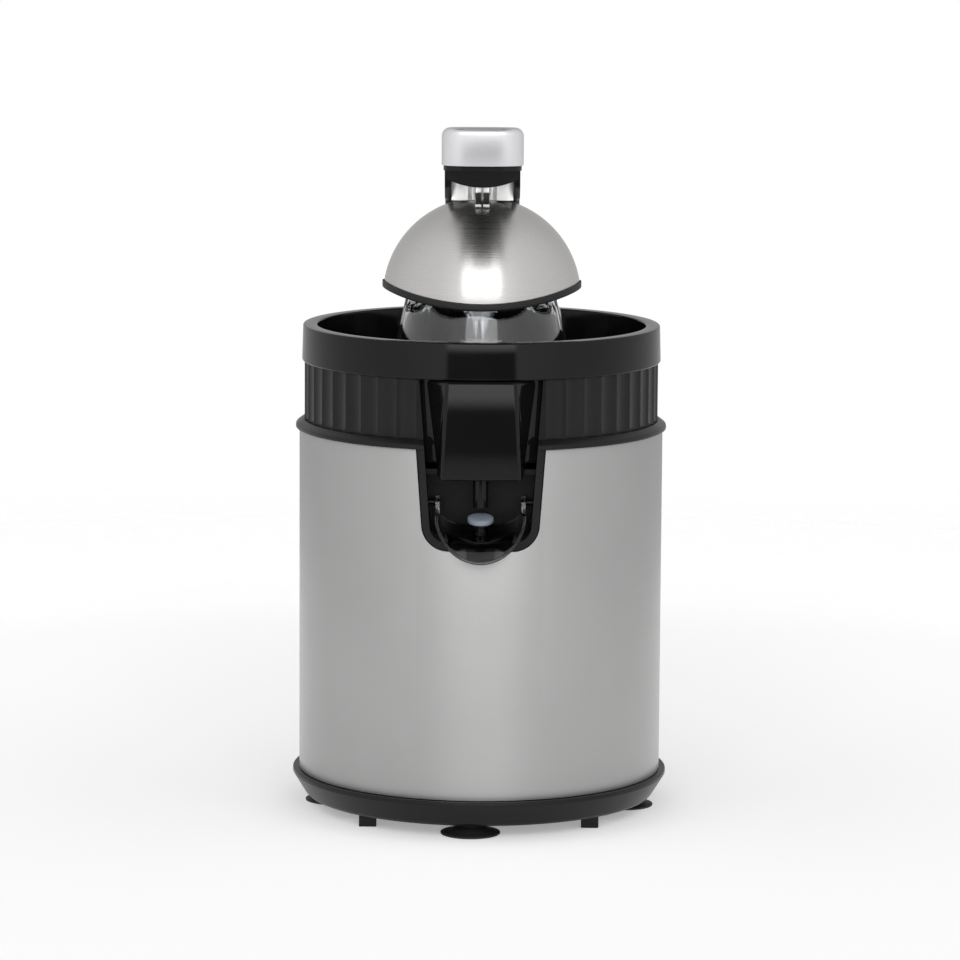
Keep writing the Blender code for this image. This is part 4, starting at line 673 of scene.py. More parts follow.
def cord_gland():
    flange = GLAND_RADIUS + 2.5 * MM
    gland = turned("gland", [
        (3.4 * MM, 0, 0.6 * MM),
        (flange - 1 * MM, 0, 0.5 * MM),
        (flange, -1.5 * MM, 0.5 * MM),
        (flange, -4 * MM),
        (GLAND_RADIUS, -4 * MM),
        (GLAND_RADIUS, -11 * MM, 0.6 * MM),
        (3.4 * MM, -11 * MM, 0.4 * MM),
    ], MEDIUM)
    at = Matrix.Translation((0, BODY_RADIUS + 4 * MM + GAP, GLAND_HEIGHT))
    place(gland, at @ Matrix.Rotation(-pi / 2, 4, "X"))
    finish(gland, "cord_gland", BLACK_RUBBER)


# ---------------------------------------------------------------- upper housing
def fluted_band():
    """The collar's outside: concave flutes that meet in narrow ridges."""
    steps = 8
    outline = []
    for i in range(FLUTES * steps):
        hollow = sin(pi * (i % steps) / steps) ** FLUTE_FULLNESS
        radius = COLLAR_RADIUS - FLUTE_DEPTH * hollow
        angle = 2 * pi * i / (FLUTES * steps)
        outline.append((radius * cos(angle), radius * sin(angle)))
    band = prism("band", outline, "XY", FLANGE_TOP - 2 * MM, COLLAR_TOP)
    inner = COLLAR_RADIUS - HOUSING_WALL
    return cut(band, rod("band_inside", inner, (0, 0, 0), (0, 0, 1), FINE))


def bay_block():
    outline = recess_outline(GAP, BODY_TOP)
    back = BAY_DEPTH + 2 * MM - BODY_RADIUS
    block = prism("bay", outline, "XZ", -BODY_RADIUS - 4 * MM, back)
    front = rod("front", BODY_RADIUS - 0.1 * MM, (0, 0, 0), (0, 0, COLLAR_TOP), 2 * FINE)
    combine(block, [front], "INTERSECT")
    low = (-BODY_RADIUS, -BAY_FRAME_BACK, HOUSING_FLOOR + HOUSING_WALL / 2)
    return cut(block, box("above", low, (BODY_RADIUS, 0, COLLAR_TOP)))


def upper_housing():
    wall_out = COLLAR_RADIUS - FLUTE_DEPTH - 0.4 * MM
    wall_in = COLLAR_RADIUS - HOUSING_WALL - 0.4 * MM
    locate = BODY_RADIUS - SHELL_WALL - GAP
    lip_low = BODY_TOP - FLANGE_LIP
    floor_top = HOUSING_FLOOR + HOUSING_WALL
    bore = BUSH_RADIUS + GAP
    housing = turned("housing", [
        (wall_out, COLLAR_TOP - 0.2 * MM),
        (wall_out, FLANGE_TOP - 0.2 * MM, 0.5 * MM),
        (FLANGE_SHOULDER, FLANGE_TOP, 1.2 * MM),
        (FLANGE_RADIUS, FLANGE_TOP - FLANGE_DROP, 1.4 * MM),
        (FLANGE_RADIUS, lip_low, 0.6 * MM),
        (BODY_RADIUS + GAP, lip_low, 0.2 * MM),
        (BODY_RADIUS + GAP, BODY_TOP + GAP),
        (locate, BODY_TOP + GAP),
        (locate, HOUSING_FLOOR, 0.5 * MM),
        (bore, HOUSING_FLOOR, 0.3 * MM),
        (bore, HUB_TOP, 0.3 * MM),
        (HUB_RADIUS, HUB_TOP, 0.6 * MM),
        (HUB_RADIUS, floor_top, 2 * MM),
        (wall_in, floor_top, 2 * MM),
        (wall_in, COLLAR_TOP - 0.2 * MM),
    ])
    join(housing, fluted_band(), bay_block())
    for x, y in CORNERS:
        at = (x * TIE_AT[0], y * TIE_AT[1])
        low, high = HOUSING_FLOOR - 14 * MM, floor_top - 1 * MM
        join(housing, upright("boss", BOSS_RADIUS, at, low, high))
        cut(housing, upright("bore", TIE_RADIUS + GAP, at, 0, HOUSING_FLOOR))
        at = (x * LEGS_AT[0], y * LEGS_AT[1])
        join(housing, upright("leg", LEG_RADIUS, at, PLATE_TOP + GAP, high))
        cut(housing, upright("leg_bore", SCREW_RADIUS + 2 * GAP, at, 0, PLATE_TOP + 10 * MM))
    inner = recess_outline(BAY_FRAME, HOUSING_FLOOR - GAP)
    deep = prism("deep", inner, "XZ", -BODY_RADIUS - 9 * MM, BAY_DEPTH - BODY_RADIUS)
    inner = recess_outline(BAY_FRAME, COLLAR_TOP + 9 * MM)
    mouth = prism("mouth", inner, "XZ", -BODY_RADIUS - 8 * MM, -BAY_MOUTH_BACK)
    cut(housing, deep, mouth)
    _, y, z = PIVOT["flap_hinge"]
    for side in (-1, 1):
        wall = side * (recess_half(z) - BAY_FRAME + 1 * MM)
        end = side * (FLAP_HIGH.x - FLAP_EAR + GAP)
        join(housing, rod("flap_boss", FLAP_PIN, (wall, y, z), (end, y, z)))
    finish(housing, "upper_housing", SATIN_BLACK, 24)


# ---------------------------------------------------------------- juice bowl
def spout_block():
    """The spout: a narrow front face whose sides spread towards the bowl."""
    def reshape(corner):
        share = (corner.z - SPOUT_BOTTOM) / (COLLAR_TOP - SPOUT_BOTTOM)
        at_front = corner.y < -(SPOUT_FRONT + SPOUT_BACK) / 2
        first, last = SPOUT_FACE_HALF if at_front else SPOUT_BACK_HALF
        half = first + (last - first) * share
        return Vector((half if corner.x > 0 else -half, corner.y, corner.z))

    block = box("spout", (-1, -SPOUT_FRONT, SPOUT_BOTTOM), (1, -SPOUT_BACK, COLLAR_TOP), reshape)
    return soften(block, 1.8 * MM, 5)


def juice_bowl():
    inner = RING_RADIUS - 0.6 * MM - RING_WALL
    floor_top = BOWL_FLOOR + BOWL_WALL
    chimney = HUB_RADIUS + 1.3 * MM
    ring_low = COLLAR_TOP + GAP
    bowl = turned("bowl", [
        (RING_RADIUS - 0.6 * MM, RING_TOP, 0.8 * MM),
        (RING_RADIUS, ring_low, 1.0 * MM),
        (BOWL_RADIUS, ring_low),
        (BOWL_RADIUS, BOWL_FLOOR, 2 * MM),
        (chimney, BOWL_FLOOR, 0.5 * MM),
        (chimney, CHIMNEY_TOP, 0.6 * MM),
        (chimney + 2.2 * MM, CHIMNEY_TOP, 0.9 * MM),
        (chimney + 3.7 * MM, floor_top, 3 * MM),
        (inner - 2 * MM, floor_top, 4 * MM),
        (inner - 2 * MM, STRAINER_AT, 0.4 * MM),
        (inner, STRAINER_AT, 0.3 * MM),
        (inner, RING_TOP, 0.9 * MM),
    ])
    room = rod("room", BOWL_RADIUS - 1.2 * MM, (0, 0, BOWL_FLOOR + 1 * MM), (0, 0, RING_TOP), FINE)
    join(bowl, cut(spout_block(), room))
    x, top = 14 * MM, floor_top + 18 * MM
    near, far = 3 * MM - SPOUT_FRONT, 6 * MM - SPOUT_BACK
    channel = box("channel", (-x, near, SPOUT_BOTTOM + 3 * MM), (x, far, top))
    tube = turned("tube", [
        (0, SPOUT_BOTTOM + 2 * MM),
        (OUTLET_RADIUS, SPOUT_BOTTOM + 2 * MM),
        (OUTLET_RADIUS, BOWL_LOW.z, 0.5 * MM),
        (0, BOWL_LOW.z),
    ], SMALL)
    place(tube, Matrix.Translation((0, OUTLET_AT, 0)))
    low, high = (0, OUTLET_AT, BOWL_LOW.z - 5 * MM), (0, OUTLET_AT, SPOUT_BOTTOM + 5 * MM)
    join(bowl, tube)
    cut(bowl, channel, rod("bore", OUTLET_BORE, low, high))
    finish(bowl, "juice_bowl", GLOSS_BLACK)


def strainer():
    outer = RING_RADIUS - 0.6 * MM - RING_WALL - GAP
    low = STRAINER_AT + GAP
    hole = HUB_RADIUS + 5.5 * MM
    rim = low + 9 * MM
    dish = turned("dish", [
        (outer, rim, 0.6 * MM),
        (outer, low, 0.6 * MM),
        (hole, low, 0.4 * MM),
        (hole, rim, 0.5 * MM),
        (hole + 1.6 * MM, rim, 0.5 * MM),
        (hole + 2.2 * MM, low + 1.8 * MM, 1.5 * MM),
        (outer - 2 * MM, low + 1.8 * MM, 1.5 * MM),
        (outer - 1.5 * MM, rim, 0.5 * MM),
    ])
    slots = bmesh.new()
    length, width, height = SLOT_SIZE
    for c, s in around(SLOTS):
        for vertex in bmesh.ops.create_cube(slots, size=1)["verts"]:
            radial = SLOT_MIDDLE + vertex.co.x * length
            across = vertex.co.y * width
            vertex.co = (radial * c - across * s, radial * s + across * c, low + vertex.co.z * height)
    finish(cut(dish, from_bmesh("slots", slots)), "strainer", SATIN_BLACK)


# ---------------------------------------------------------------- drip-stop flap
def scoop_depth(y):
    """The scoop's depth along its length: shallow behind, and deepening towards the lip."""
    deep_back, deep_shell, deep_lip = FLAP_DEPTHS
    if y > FLAP_SHELL:
        return deep_back + (deep_shell - deep_back) * (FLAP_BACK - y) / (FLAP_BACK - FLAP_SHELL)
    share = (FLAP_SHELL - y) / (FLAP_SHELL - FLAP_LOW.y)
    return deep_shell + (deep_lip - deep_shell) * share**1.6


def scoop():
    """A loft between half-ellipse sections, outside and inside, with a rounded lip."""
    steps, stations = 48, 22
    top = PIVOT["flap_hinge"].z - 1.5 * MM
    shape = bmesh.new()

    def section(y, inset):
        half, depth = FLAP_HIGH.x - inset, scoop_depth(y) - inset
        turns = (pi + pi * i / steps for i in range(steps + 1))
        return [shape.verts.new((half * cos(a), y, top + depth * sin(a))) for a in turns]

    lip = FLAP_LOW.y
    along = [FLAP_BACK + (lip + 0.6 * MM - FLAP_BACK) * i / stations for i in range(stations + 1)]
    rows = [section(y, 0) for y in along]
    rows += [section(lip + 0.2 * MM, 0.2 * MM), section(lip, 0.6 * MM), section(lip, FLAP_WALL - 0.6 * MM)]
    rows += [section(lip + 0.2 * MM, FLAP_WALL - 0.2 * MM)]
    rows += [section(y, FLAP_WALL) for y in reversed(along)]
    for lower, upper in zip(rows, rows[1:] + rows[:1]):
        for i in range(steps):
            shape.faces.new((lower[i], lower[i + 1], upper[i + 1], upper[i]))
    for end in (0, steps):
        shape.faces.new([row[end] for row in rows])
    return from_bmesh("scoop", shape)


def drip_flap():
    _, y, z = PIVOT["flap_hinge"]
    top = z - 1.5 * MM
    flap = scoop()
    for side in (-1, 1):
        outline = rounded([
            (y + 3.4 * MM, z - 3.4 * MM, 3.2 * MM),
            (y + 3.4 * MM, z + 3.4 * MM, 3.2 * MM),
            (y - 12 * MM, z + 3 * MM, 2 * MM),
            (-86 * MM, top - 3 * MM),
            (-84 * MM, top - 6 * MM),
        ], 8)
        outer, inner = side * FLAP_HIGH.x, side * (FLAP_HIGH.x - FLAP_EAR)
        join(flap, prism("ear", outline, "YZ", min(outer, inner), max(outer, inner)))
        ends = (inner - side * 3 * MM, y, z), (outer + side * 3 * MM, y, z)
        cut(flap, rod("ear_bore", FLAP_PIN + GAP, *ends))
    boss_top = SEAL_AT.z - SEAL_THICKNESS / 2 - 3 * GAP
    foot = (0, OUTLET_AT + 2.5 * MM, z - FLAP_DEPTHS[1])
    join(flap, rod("boss", 4 * MM, (0, OUTLET_AT, boss_top), foot))
    finish(flap, "drip_flap", SMOKE_PLASTIC)
    seal = turned("seal", [
        (0, SEAL_THICKNESS / 2),
        (SEAL_RADIUS - 2 * MM, SEAL_THICKNESS / 2, 0.5 * MM),
        (SEAL_RADIUS, SEAL_THICKNESS / 2 - 0.5 * MM, 0.5 * MM),
        (SEAL_RADIUS, -SEAL_THICKNESS / 2, 0.6 * MM),
        (0, -SEAL_THICKNESS / 2),
    ], MEDIUM)
    place(seal, Matrix.Translation(SEAL_AT) @ Matrix.Rotation(FLAP_TILT, 4, "X"))
    finish(seal, "drip_seal", BLUE_SILICONE)


# ---------------------------------------------------------------- reamer and spindle
def reamer_radius(height):
    if height <= SKIRT_TOP:
        share = (height - REAMER_LOW.z) / (SKIRT_TOP - REAMER_LOW.z)
        return REAMER_RADIUS + share * (SKIRT_TOP_RADIUS - REAMER_RADIUS)
    share = (height - SKIRT_TOP) / (REAMER_HIGH.z - SKIRT_TOP)
    return SKIRT_TOP_RADIUS * (1 - share**1.7)


def smooth(low, high, value):
    share = max(0.0, min(1.0, (value - low) / (high - low)))
    return share * share * (3 - 2 * share)


def reamer_point(angle, height, inset):
    """A point on the reamer: U-ended flutes between ridges, and a narrow rib down each ridge's skirt."""
    pitch = 2 * pi / REAMER_FLUTES
    off = (angle % pitch) / pitch
    flute = sin(pi * off)
    start = SKIRT_TOP - 1 * MM - 4 * MM * flute
    depth = REAMER_CUT * smooth(start - 1 * MM, start + 5 * MM, height) * flute**1.5
    from_ridge = min(off, 1 - off) * pitch * SKIRT_TOP_RADIUS
    rib = 0.0 if inset else 0.6 * MM * exp(-(from_ridge / (1.4 * MM)) ** 4)
    rib *= 1 - smooth(SKIRT_TOP - 2 * MM, SKIRT_TOP + 6 * MM, height)
    rib *= smooth(REAMER_LOW.z, REAMER_LOW.z + 1 * MM, height)
    radius = (reamer_radius(height) - 0.5 * MM) * (1 - depth) + 0.5 * rib - inset
    turn = angle - pi / 2 + REAMER_TURN
    radius = max(radius, 0.4 * MM)
    return radius * cos(turn), radius * sin(turn), height - inset * smooth(SKIRT_TOP, REAMER_HIGH.z, height)


def reamer_cone():
    sides, levels = REAMER_FLUTES * 28, 48
    low, high = REAMER_LOW.z, REAMER_HIGH.z - 0.6 * MM
    heights = [low + (high - low) * (i / levels) for i in range(levels + 1)]
    shape = bmesh.new()
    skins = []
    for inset in (0, REAMER_WALL):
        skin = []
        for height in heights:
            turns = (2 * pi * i / sides for i in range(sides))
            skin.append([shape.verts.new(reamer_point(a, height, inset)) for a in turns])
        skins.append(skin)
    for skin in skins:
        for lower, upper in zip(skin, skin[1:]):
            for i in range(sides):
                after = (i + 1) % sides
                shape.faces.new((lower[i], lower[after], upper[after], upper[i]))
        shape.faces.new(skin[-1])
    outer, inner = skins[0][0], skins[1][0]
    for i in range(sides):
        after = (i + 1) % sides
        shape.faces.new((outer[i], outer[after], inner[after], inner[i]))
    reamer = from_bmesh("reamer", shape)
    hub_low = SPINDLE_TOP - 7 * MM
    hub = turned("hub", [
        (0, REAMER_HIGH.z - 1.6 * MM),
        (3 * MM, REAMER_HIGH.z - 3.5 * MM),
        (7 * MM, REAMER_HIGH.z - 8 * MM, 2 * MM),
        (8 * MM, REAMER_HIGH.z - 12 * MM, 1 * MM),
        (8 * MM, hub_low, 0.5 * MM),
        (0, hub_low),
    ], MEDIUM)
    join(reamer, hub)
    cut(reamer, rod("bore", SPINDLE_RADIUS + GAP, (0, 0, hub_low - 5 * MM), (0, 0, SPINDLE_TOP + GAP)))
    finish(reamer, "reamer_cone", CLEAR_PLASTIC, 40)


def drive_spindle():
    splash = CHIMNEY_TOP + 4.5 * MM
    spindle = turned("spindle", [
        (0, SPINDLE_TOP),
        (SPINDLE_RADIUS, SPINDLE_TOP, 0.8 * MM),
        (SPINDLE_RADIUS, splash + 2 * MM, 0.5 * MM),
        (SPLASH_RADIUS, splash + 2 * MM, 0.6 * MM),
        (SPLASH_RADIUS, splash, 0.3 * MM),
        (SPINDLE_RADIUS, splash, 0.3 * MM),
        (SPINDLE_RADIUS, SPINDLE_BOTTOM, 0.8 * MM),
        (0, SPINDLE_BOTTOM),
    ], MEDIUM)
    finish(spindle, "drive_spindle", SHAFT_STEEL)


# ---------------------------------------------------------------- press dome
HEAD = Matrix.Translation(PIVOT["dome_tilt"]) @ Matrix.Rotation(DOME_TILT, 4, "X")


def rim_height(turn):
    """The rim above the sphere's centre: low at its front and back, and raised at its sides."""
    return DOME_RIM + DOME_RISE * cos(turn) ** 2


def lofted(name, rings, closed):
    """Faces between rings of points; the last ring joins the first, or both ends are capped."""
    shape = bmesh.new()
    rows = [[shape.verts.new(point) for point in ring] for ring in rings]
    pairs = list(zip(rows, rows[1:]))
    if closed:
        pairs.append((rows[-1], rows[0]))
    else:
        shape.faces.new(rows[0])
        shape.faces.new(rows[-1])
    for lower, upper in pairs:
        for i in range(len(lower)):
            after = (i + 1) % len(lower)
            shape.faces.new((lower[i], lower[after], upper[after], upper[i]))
    return from_bmesh(name, shape)


def dome_ring(sphere, top, share):
    """Points at a share of the way from the flat on top down to the rim, on a sphere."""
    ring = []
    for turn in (2 * pi * i / FINE for i in range(FINE)):
        start, end = acos(top / sphere), acos(rim_height(turn) / sphere)
        angle = start + (end - start) * share
        radius = sphere * sin(angle)
        ring.append((radius * cos(turn), radius * sin(turn), sphere * cos(angle) - DOME_DROP))
    return ring


def press_dome():
    steps = 40
    inside = DOME_RADIUS - DOME_WALL
    flat = sqrt(DOME_RADIUS**2 - DOME_FLAT**2)
    rings = [dome_ring(DOME_RADIUS, flat, i / steps) for i in range(steps + 1)]
    rings += [dome_ring(inside, flat - DOME_WALL, i / steps) for i in reversed(range(steps + 1))]
    dome = lofted("dome", rings, False)
    top = -DOME_DROP + flat
    cut(dome, rod("hole", SCREW_RADIUS + GAP, (0, 0, top - 9 * MM), (0, 0, top + 9 * MM)))
    finish(place(dome, HEAD), "press_dome", DOME_STEEL, 20)


def dome_trim():
    slot_out = GAP + 0.1 * MM
    slot_in = -DOME_WALL - 2 * GAP
    section = rounded([
        (TRIM_OUT, 1.1 * MM, 0.5 * MM),
        (TRIM_OUT, -3.1 * MM, 1.1 * MM),
        (-TRIM_IN, -3.1 * MM, 0.9 * MM),
        (-TRIM_IN, 1.1 * MM, 0.5 * MM),
        (slot_in, 1.1 * MM),
        (slot_in, -GAP),
        (slot_out, -GAP),
        (slot_out, 1.1 * MM),
    ])
    rings = []
    for out, up in section:
        ring = []
        for turn in (2 * pi * i / FINE for i in range(FINE)):
            height = rim_height(turn)
            radius = sqrt(DOME_RADIUS**2 - height**2) + out
            ring.append((radius * cos(turn), radius * sin(turn), height + up - DOME_DROP))
        rings.append(ring)
    finish(place(lofted("trim", rings, True), HEAD), "dome_trim", BLACK_RUBBER)


def dome_neck():
    low = -DOME_DROP + sqrt(DOME_RADIUS**2 - DOME_FLAT**2) + GAP
    high = 5.5 * MM
    lug_half, lug_front = 5.3 * MM, NECK_DEPTH + 3.2 * MM
    neck = box("neck", (-NECK_HALF, -NECK_DEPTH, low), (NECK_HALF, NECK_DEPTH, high))
    join(neck, box("lugs", (-lug_half, -lug_front, low + 1.5 * MM), (lug_half, 1 * MM - NECK_DEPTH, -1 * MM)))
    slot = TONGUE_HALF + GAP
    cutters = [box("slot", (-slot, -lug_front - 5 * MM, low - 5 * MM), (slot, -NECK_DEPTH, high))]
    for side in (-1, 1):
        first, last = sorted((side * (lug_half + GAP), side * (lug_half + 2.8 * MM)))
        near, far = (first, -NECK_DEPTH - 5 * MM, low - 5 * MM), (last, 4 * MM - NECK_DEPTH, high + 5 * MM)
        cutters.append(box("groove", near, far))
    soften(cut(neck, *cutters), 0.5 * MM)
    cut(neck, crosswise("bore", PIN_RADIUS + GAP, 2 * NECK_HALF, 0, 0))
    finish(place(neck, HEAD), "dome_neck", BRIGHT_METAL, 25)


def release_tongue():
    y, z = TONGUE_AXIS
    rise = -DOME_DROP + sqrt(DOME_RADIUS**2 - TONGUE_BEND**2)
    tip = -DOME_DROP + sqrt(DOME_RADIUS**2 - TONGUE_END**2)
    outline = rounded([
        (y - 1.4 * MM, z + 1.5 * MM, 1 * MM),
        (y + 1.4 * MM, z + 1.5 * MM, 1 * MM),
        (y + 1.4 * MM, rise + 1.6 * MM, 0.8 * MM),
        (-TONGUE_END, tip + 0.7 * MM, 0.5 * MM),
        (-TONGUE_END - 0.6 * MM, tip + 2.6 * MM, 0.8 * MM),
        (y - 1.4 * MM, rise + 3.6 * MM, 2.5 * MM),
    ], 6)
    tongue = soften(prism("tongue", outline, "YZ", -TONGUE_HALF, TONGUE_HALF), 0.5 * MM)
    slit = box("slit", (-SLIT_HALF, -30 * MM, -26 * MM), (SLIT_HALF, 1.6 * MM - NECK_DEPTH, -9 * MM))
    pin = crosswise("pin", LATCH_PIN + 0.2 * MM, 9 * MM, y, z)
    finish(place(cut(tongue, slit, pin), HEAD), "release_tongue", BRIGHT_METAL, 25)


# ---------------------------------------------------------------- lever
def lever_top(y):
    return GRIP_TOP - (y - LEVER_FRONT) * tan(LEVER_SLOPE)


def grip_block(name, inset, low, high, back):
    """The grip's plan, whose front is a squarish arc, from a level underside up to a sloping top."""
    half, front = CAP_HALF - inset, LEVER_FRONT - CAP_WALL - GAP + inset
    plan = [(-half, back)]
    steps = 40
    for i in range(steps + 1):
        along, out = -cos(pi * i / steps), sin(pi * i / steps)
        x = half * abs(along) ** CAP_SQUARENESS * (1 if along > 0 else -1)
        plan.append((x, front + CAP_BULGE * (1 - out**CAP_SQUARENESS)))
    plan.append((half, back))
    block = prism(name, plan, "XY", low, high)
    for vertex in block.data.vertices:
        if vertex.co.z > (low + high) / 2:
            vertex.co.z = high - (vertex.co.y - front) * tan(LEVER_SLOPE)
    return block


def keel():
    """The grip's rounded underside, which reaches back between the cheeks."""
    middle = GRIP_KEEL + KEEL_RADIUS
    ends = (0, LEVER_FRONT + 8 * MM, middle), (0, GRIP_BACK - 1 * MM, middle)
    half, top = LEVER_HALF - CHEEK / 2, lever_top(GRIP_BACK) - 2 * MM
    within = box("within", (-half, 2 * LEVER_FRONT, 0), (half, 0, top))
    return combine(rod("keel", KEEL_RADIUS, *ends, 2 * FINE), [within], "INTERSECT")


def lever_body():
    _, hinge_y, hinge_z = PIVOT["lever_hinge"]
    web_back = hinge_y - LEVER_EYE - 3 * MM
    turns = (pi * i / 24 for i in range(25))
    eye = [(hinge_y + LEVER_EYE * sin(a), hinge_z + LEVER_EYE * cos(a)) for a in turns]
    outline = rounded([
        (LEVER_FRONT, GRIP_BOTTOM - 2.5 * MM, 1 * MM),
        (LEVER_FRONT, GRIP_TOP),
        (web_back, lever_top(web_back)),
        *eye,
        (82 * MM, 338 * MM, 6 * MM),
        (62 * MM, 329 * MM, 8 * MM),
        (46 * MM, 328 * MM, 8 * MM),
        (34 * MM, 334 * MM, 6 * MM),
        (18 * MM, 341.5 * MM, 6 * MM),
        (-10 * MM, 345 * MM, 6 * MM),
        (GRIP_BACK, 352 * MM, 3 * MM),
        (GRIP_BACK - 6 * MM, GRIP_BOTTOM - 6 * MM, 3 * MM),
    ])
    lever = prism("lever", outline, "YZ", -LEVER_HALF, LEVER_HALF)
    combine(lever, [grip_block("plan", CAP_HALF - LEVER_HALF, 0, 2 * GRIP_TOP, COLUMN_BACK)], "INTERSECT")
    inner = LEVER_HALF - CHEEK

    def under_web(corner):
        height = lever_top(corner.y) - 3 * MM if corner.z > GRIP_BOTTOM else corner.z
        return Vector((corner.x, corner.y, height))

    low = (-inner, GRIP_BACK - 7 * MM, 300 * MM)
    channel = box("channel", low, (inner, web_back - 6 * MM, GRIP_TOP), under_web)
    rear_low, rear_high = (-inner, web_back - 8 * MM, 300 * MM), (inner, hinge_y + 30 * MM, GRIP_TOP + 9 * MM)
    cut(lever, channel, box("rear", rear_low, rear_high))
    join(lever, keel())
    core = CAP_HALF - CAP_WALL - GAP
    for side in (-1, 1):
        first, last = sorted((side * core, side * 2 * core))
        low = (first, 2 * LEVER_FRONT, GRIP_BOTTOM - GAP)
        cut(lever, box("seat", low, (last, CAP_BACK + GAP, 2 * GRIP_TOP)))
    soften(lever, 0.7 * MM, 3, 50)
    for _, y, z in (PIVOT["lever_hinge"], PIVOT["dome_tilt"]):
        cut(lever, crosswise("bore", PIN_RADIUS + GAP, 2 * LEVER_HALF, y, z))
    finish(lever, "lever_body", SATIN_BLACK, 30)


def lever_cap():
    low, high = GRIP_BOTTOM, GRIP_TOP + CAP_WALL
    cap = soften(grip_block("cap", 0, low - 12 * MM, high, CAP_BACK), 4.5 * MM, 10)
    hollow = grip_block("hollow", CAP_WALL, low - 20 * MM, high - CAP_WALL, 0)
    wide = 2 * CAP_HALF
    below = box("below", (-wide, 2 * LEVER_FRONT, low - 40 * MM), (wide, 0, low))
    behind = box("behind", (-wide, CAP_BACK - 5 * MM, 0), (wide, CAP_BACK + 9 * MM, 2 * high))
    cut(cap, below, behind, hollow)
    soften(cap, 0.3 * MM, 2, 60)
    finish(cap, "lever_cap", SATIN_SILVER, 25)


# ---------------------------------------------------------------- column
def body_envelope():
    """What the column stands clear of: the shell, the flange, and the bowl with room to lift it."""
    clear_of_ring = RING_RADIUS + 1.3 * MM
    lip_low = BODY_TOP - FLANGE_LIP - GAP
    return turned("envelope", [
        (0, ABOVE_ALL),
        (clear_of_ring, ABOVE_ALL),
        (clear_of_ring, FLANGE_TOP + GAP),
        (FLANGE_RADIUS + GAP, FLANGE_TOP + GAP),
        (FLANGE_RADIUS + GAP, lip_low),
        (BODY_RADIUS + GAP, lip_low),
        (BODY_RADIUS + GAP, 0),
        (0, 0),
    ])


def rear_column():
    _, hinge_y, hinge_z = PIVOT["lever_hinge"]
    head_half = LEVER_HALF - CHEEK - GAP
    head = LEVER_EYE - 0.8 * MM
    low = (-COLUMN_HALF, COLUMN_FRONT - 30 * MM, COLUMN_FOOT)
    post = soften(box("post", low, (COLUMN_HALF, COLUMN_BACK, COLUMN_SHOULDER)), 4 * MM, 8)
    cut(post, box("front", (-1, 0, 0), (1, COLUMN_FRONT, 1)))
    arc = [(hinge_y + head * cos(a), hinge_z + head * sin(a)) for a in (pi * i / 28 for i in range(29))]
    foot = COLUMN_SHOULDER - 8 * MM
    outline = [*arc, (hinge_y - head, foot), (hinge_y + head, foot)]
    knuckle = soften(prism("knuckle", outline, "YZ", -head_half, head_half), 0.8 * MM, 3, 50)
    join(post, knuckle)
    cut(post, body_envelope())
    inner = COLUMN_HALF - COLUMN_WALL
    behind = FLANGE_RADIUS + GAP + COLUMN_WALL
    bottom, top = COLUMN_FOOT + COLUMN_WALL, COLUMN_SHOULDER - 12 * MM
    hollow = box("hollow", (-inner, behind, bottom), (inner, COLUMN_BACK - COLUMN_WALL, top))
    mouth = box("mouth", (-inner, 0, bottom), (inner, behind + 1 * MM, BODY_TOP - 14 * MM))
    cut(post, hollow, mouth)
    for height in COLUMN_SCREWS:
        face = (0, BODY_RADIUS + GAP, height)
        join(post, rod("boss", 4 * MM, face, (0, COLUMN_BACK - COLUMN_WALL / 2, height)))
    cut(post, crosswise("bore", PIN_RADIUS + GAP, 2 * COLUMN_HALF, hinge_y, hinge_z))
    finish(post, "rear_column", SATIN_BLACK, 30)


# ---------------------------------------------------------------- inner nodes
INNER = {
    "white_nylon": WHITE_NYLON,
    "machined_steel": MACHINED_STEEL,
    "brass": BRASS,
    "black_rubber": BLACK_RUBBER,
    "gloss_black": GLOSS_BLACK,
    "brushed_steel": SHELL_STEEL,
    "bright_metal": BRIGHT_METAL,
    "satin_black": SATIN_BLACK,
    "satin_silver": SATIN_SILVER,
    "blue_silicone": BLUE_SILICONE,
    "clear_plastic": CLEAR_PLASTIC,
    "smoke_plastic": SMOKE_PLASTIC,
}


def finish_inner_nodes():
    for part in frame["record"]["subparts"]:
        node = frame["nodes"][part["node"]]
        node.data.materials.clear()
        node.data.materials.append(INNER[part["material_slot"]])


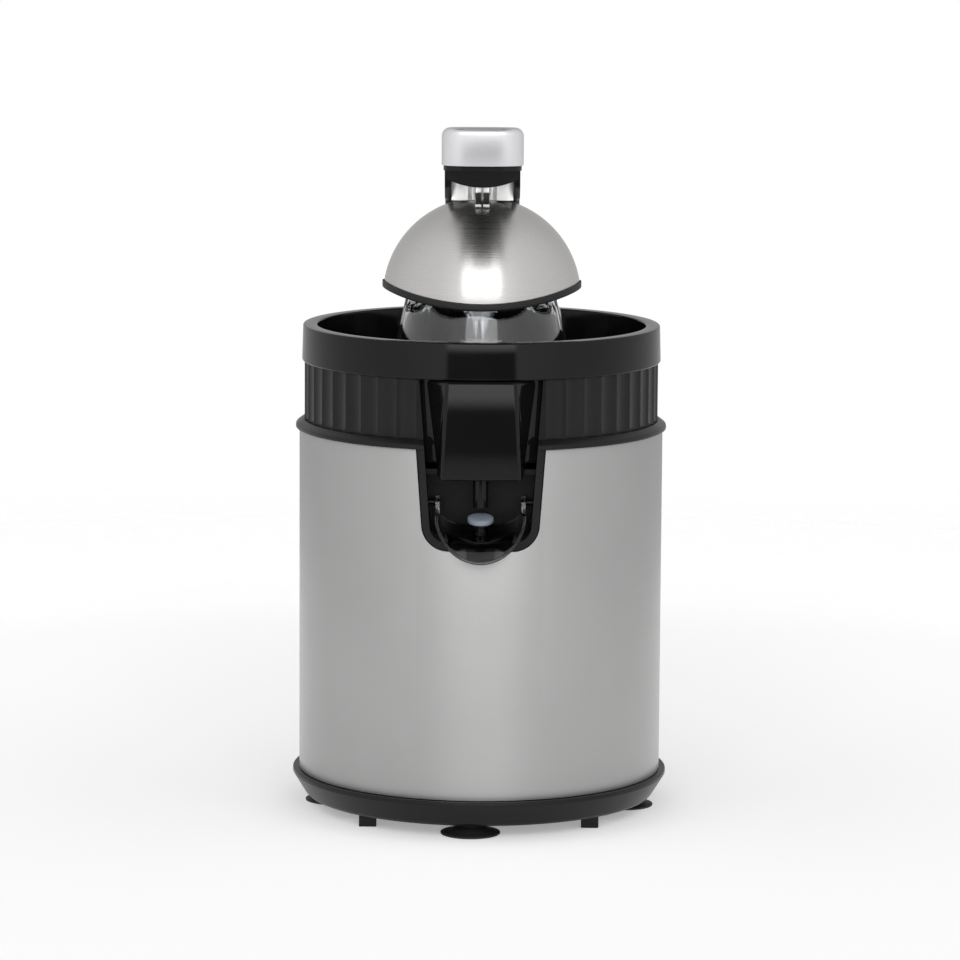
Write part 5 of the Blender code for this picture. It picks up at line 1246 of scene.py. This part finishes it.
# ---------------------------------------------------------------- stage
def world_nodes():
    """White for the camera. Light and reflections see pale sides, and a bright patch in a dark band."""
    world = bpy.data.worlds.new("studio")
    bpy.context.scene.world = world
    world.use_nodes = True
    tree = world.node_tree
    background = tree.nodes["Background"]

    def math(operation, first, second=None):
        node = tree.nodes.new("ShaderNodeMath")
        node.operation = operation
        for socket, value in zip(node.inputs, (first, second)):
            if value is None:
                continue
            if isinstance(value, (int, float)):
                socket.default_value = value
            else:
                tree.links.new(value, socket)
        return node.outputs[0]

    def ramp(source, stops):
        node = tree.nodes.new("ShaderNodeFloatCurve")
        curve = node.mapping.curves[0]
        node.mapping.clip_min_y, node.mapping.clip_max_y = 0, 1
        while len(curve.points) < len(stops):
            curve.points.new(0.5, 0.5)
        for point, (x, y) in zip(curve.points, stops):
            point.location = (x, y)
            point.handle_type = "VECTOR"
        node.mapping.update()
        tree.links.new(source, node.inputs["Value"])
        return node.outputs[0]

    direction = tree.nodes.new("ShaderNodeTexCoord").outputs["Generated"]
    split = tree.nodes.new("ShaderNodeSeparateXYZ")
    tree.links.new(direction, split.inputs[0])
    x, y, z = split.outputs
    azimuth = math("DIVIDE", math("ARCTAN2", math("ABSOLUTE", x), math("MULTIPLY", y, -1)), pi)
    elevation = math("ADD", math("DIVIDE", math("ARCSINE", z), pi), 0.5)
    sides = ramp(azimuth, AROUND_LIGHT)
    front = ramp(elevation, AHEAD_LIGHT)
    width = ramp(math("ABSOLUTE", x), BAND_WIDTH)
    reach = ramp(math("ADD", math("MULTIPLY", y, 0.5), 0.5), BAND_REACH)
    band = math("MULTIPLY", width, reach)
    light = math("ADD", math("MULTIPLY", sides, math("SUBTRACT", 1, band)), math("MULTIPLY", front, band))
    light = math("MULTIPLY", light, LIGHT_LEVEL)
    camera = tree.nodes.new("ShaderNodeLightPath").outputs["Is Camera Ray"]
    strength = math("ADD", math("MULTIPLY", light, math("SUBTRACT", 1, camera)), camera)
    tree.links.new(strength, background.inputs["Strength"])
    background.inputs["Color"].default_value = (1, 1, 1, 1)


def floor():
    """A pale floor that fades into the white backdrop."""
    edge = [(FLOOR_RADIUS, 0), (FLOOR_RADIUS, -2 * MM)]
    disc = turned("studio_floor", [(0, 0), *edge, (0, -2 * MM)], FLOOR_SIDES)
    made, tree, shader = new_material("floor", (0.85, 0.85, 0.85), 0.8, 0.0, Specular_IOR_Level=0.1)
    shader.inputs["Emission Color"].default_value = (1, 1, 1, 1)
    shader.inputs["Emission Strength"].default_value = FLOOR_GLOW
    coordinates = tree.nodes.new("ShaderNodeTexCoord").outputs["Object"]
    vary(tree, length_of(tree, coordinates), shader.inputs["Alpha"], 1.0, 0.0, FLOOR_FADE)
    disc.data.materials.append(made)


def camera():
    """Looks down by eight degrees from 2.6 m away, rolled by a third of a degree."""
    lens = bpy.data.cameras.new("camera")
    lens.lens = CAMERA_LENS
    lens.sensor_width = CAMERA_SENSOR
    obj = add(bpy.data.objects.new("camera", lens))
    turn = Matrix.Rotation(pi / 2 - CAMERA_PITCH, 4, "X") @ Matrix.Rotation(CAMERA_ROLL, 4, "Z")
    obj.matrix_world = Matrix.Translation(CAMERA_AT) @ turn
    bpy.context.scene.camera = obj


camera()
world_nodes()
floor()
bpy.context.scene.view_settings.view_transform = "Standard"
finish_inner_nodes()
base_pan()
suction_feet()
steel_shell()
cord_gland()
upper_housing()
juice_bowl()
strainer()
drip_flap()
reamer_cone()
drive_spindle()
press_dome()
dome_trim()
dome_neck()
release_tongue()
lever_body()
lever_cap()
rear_column()
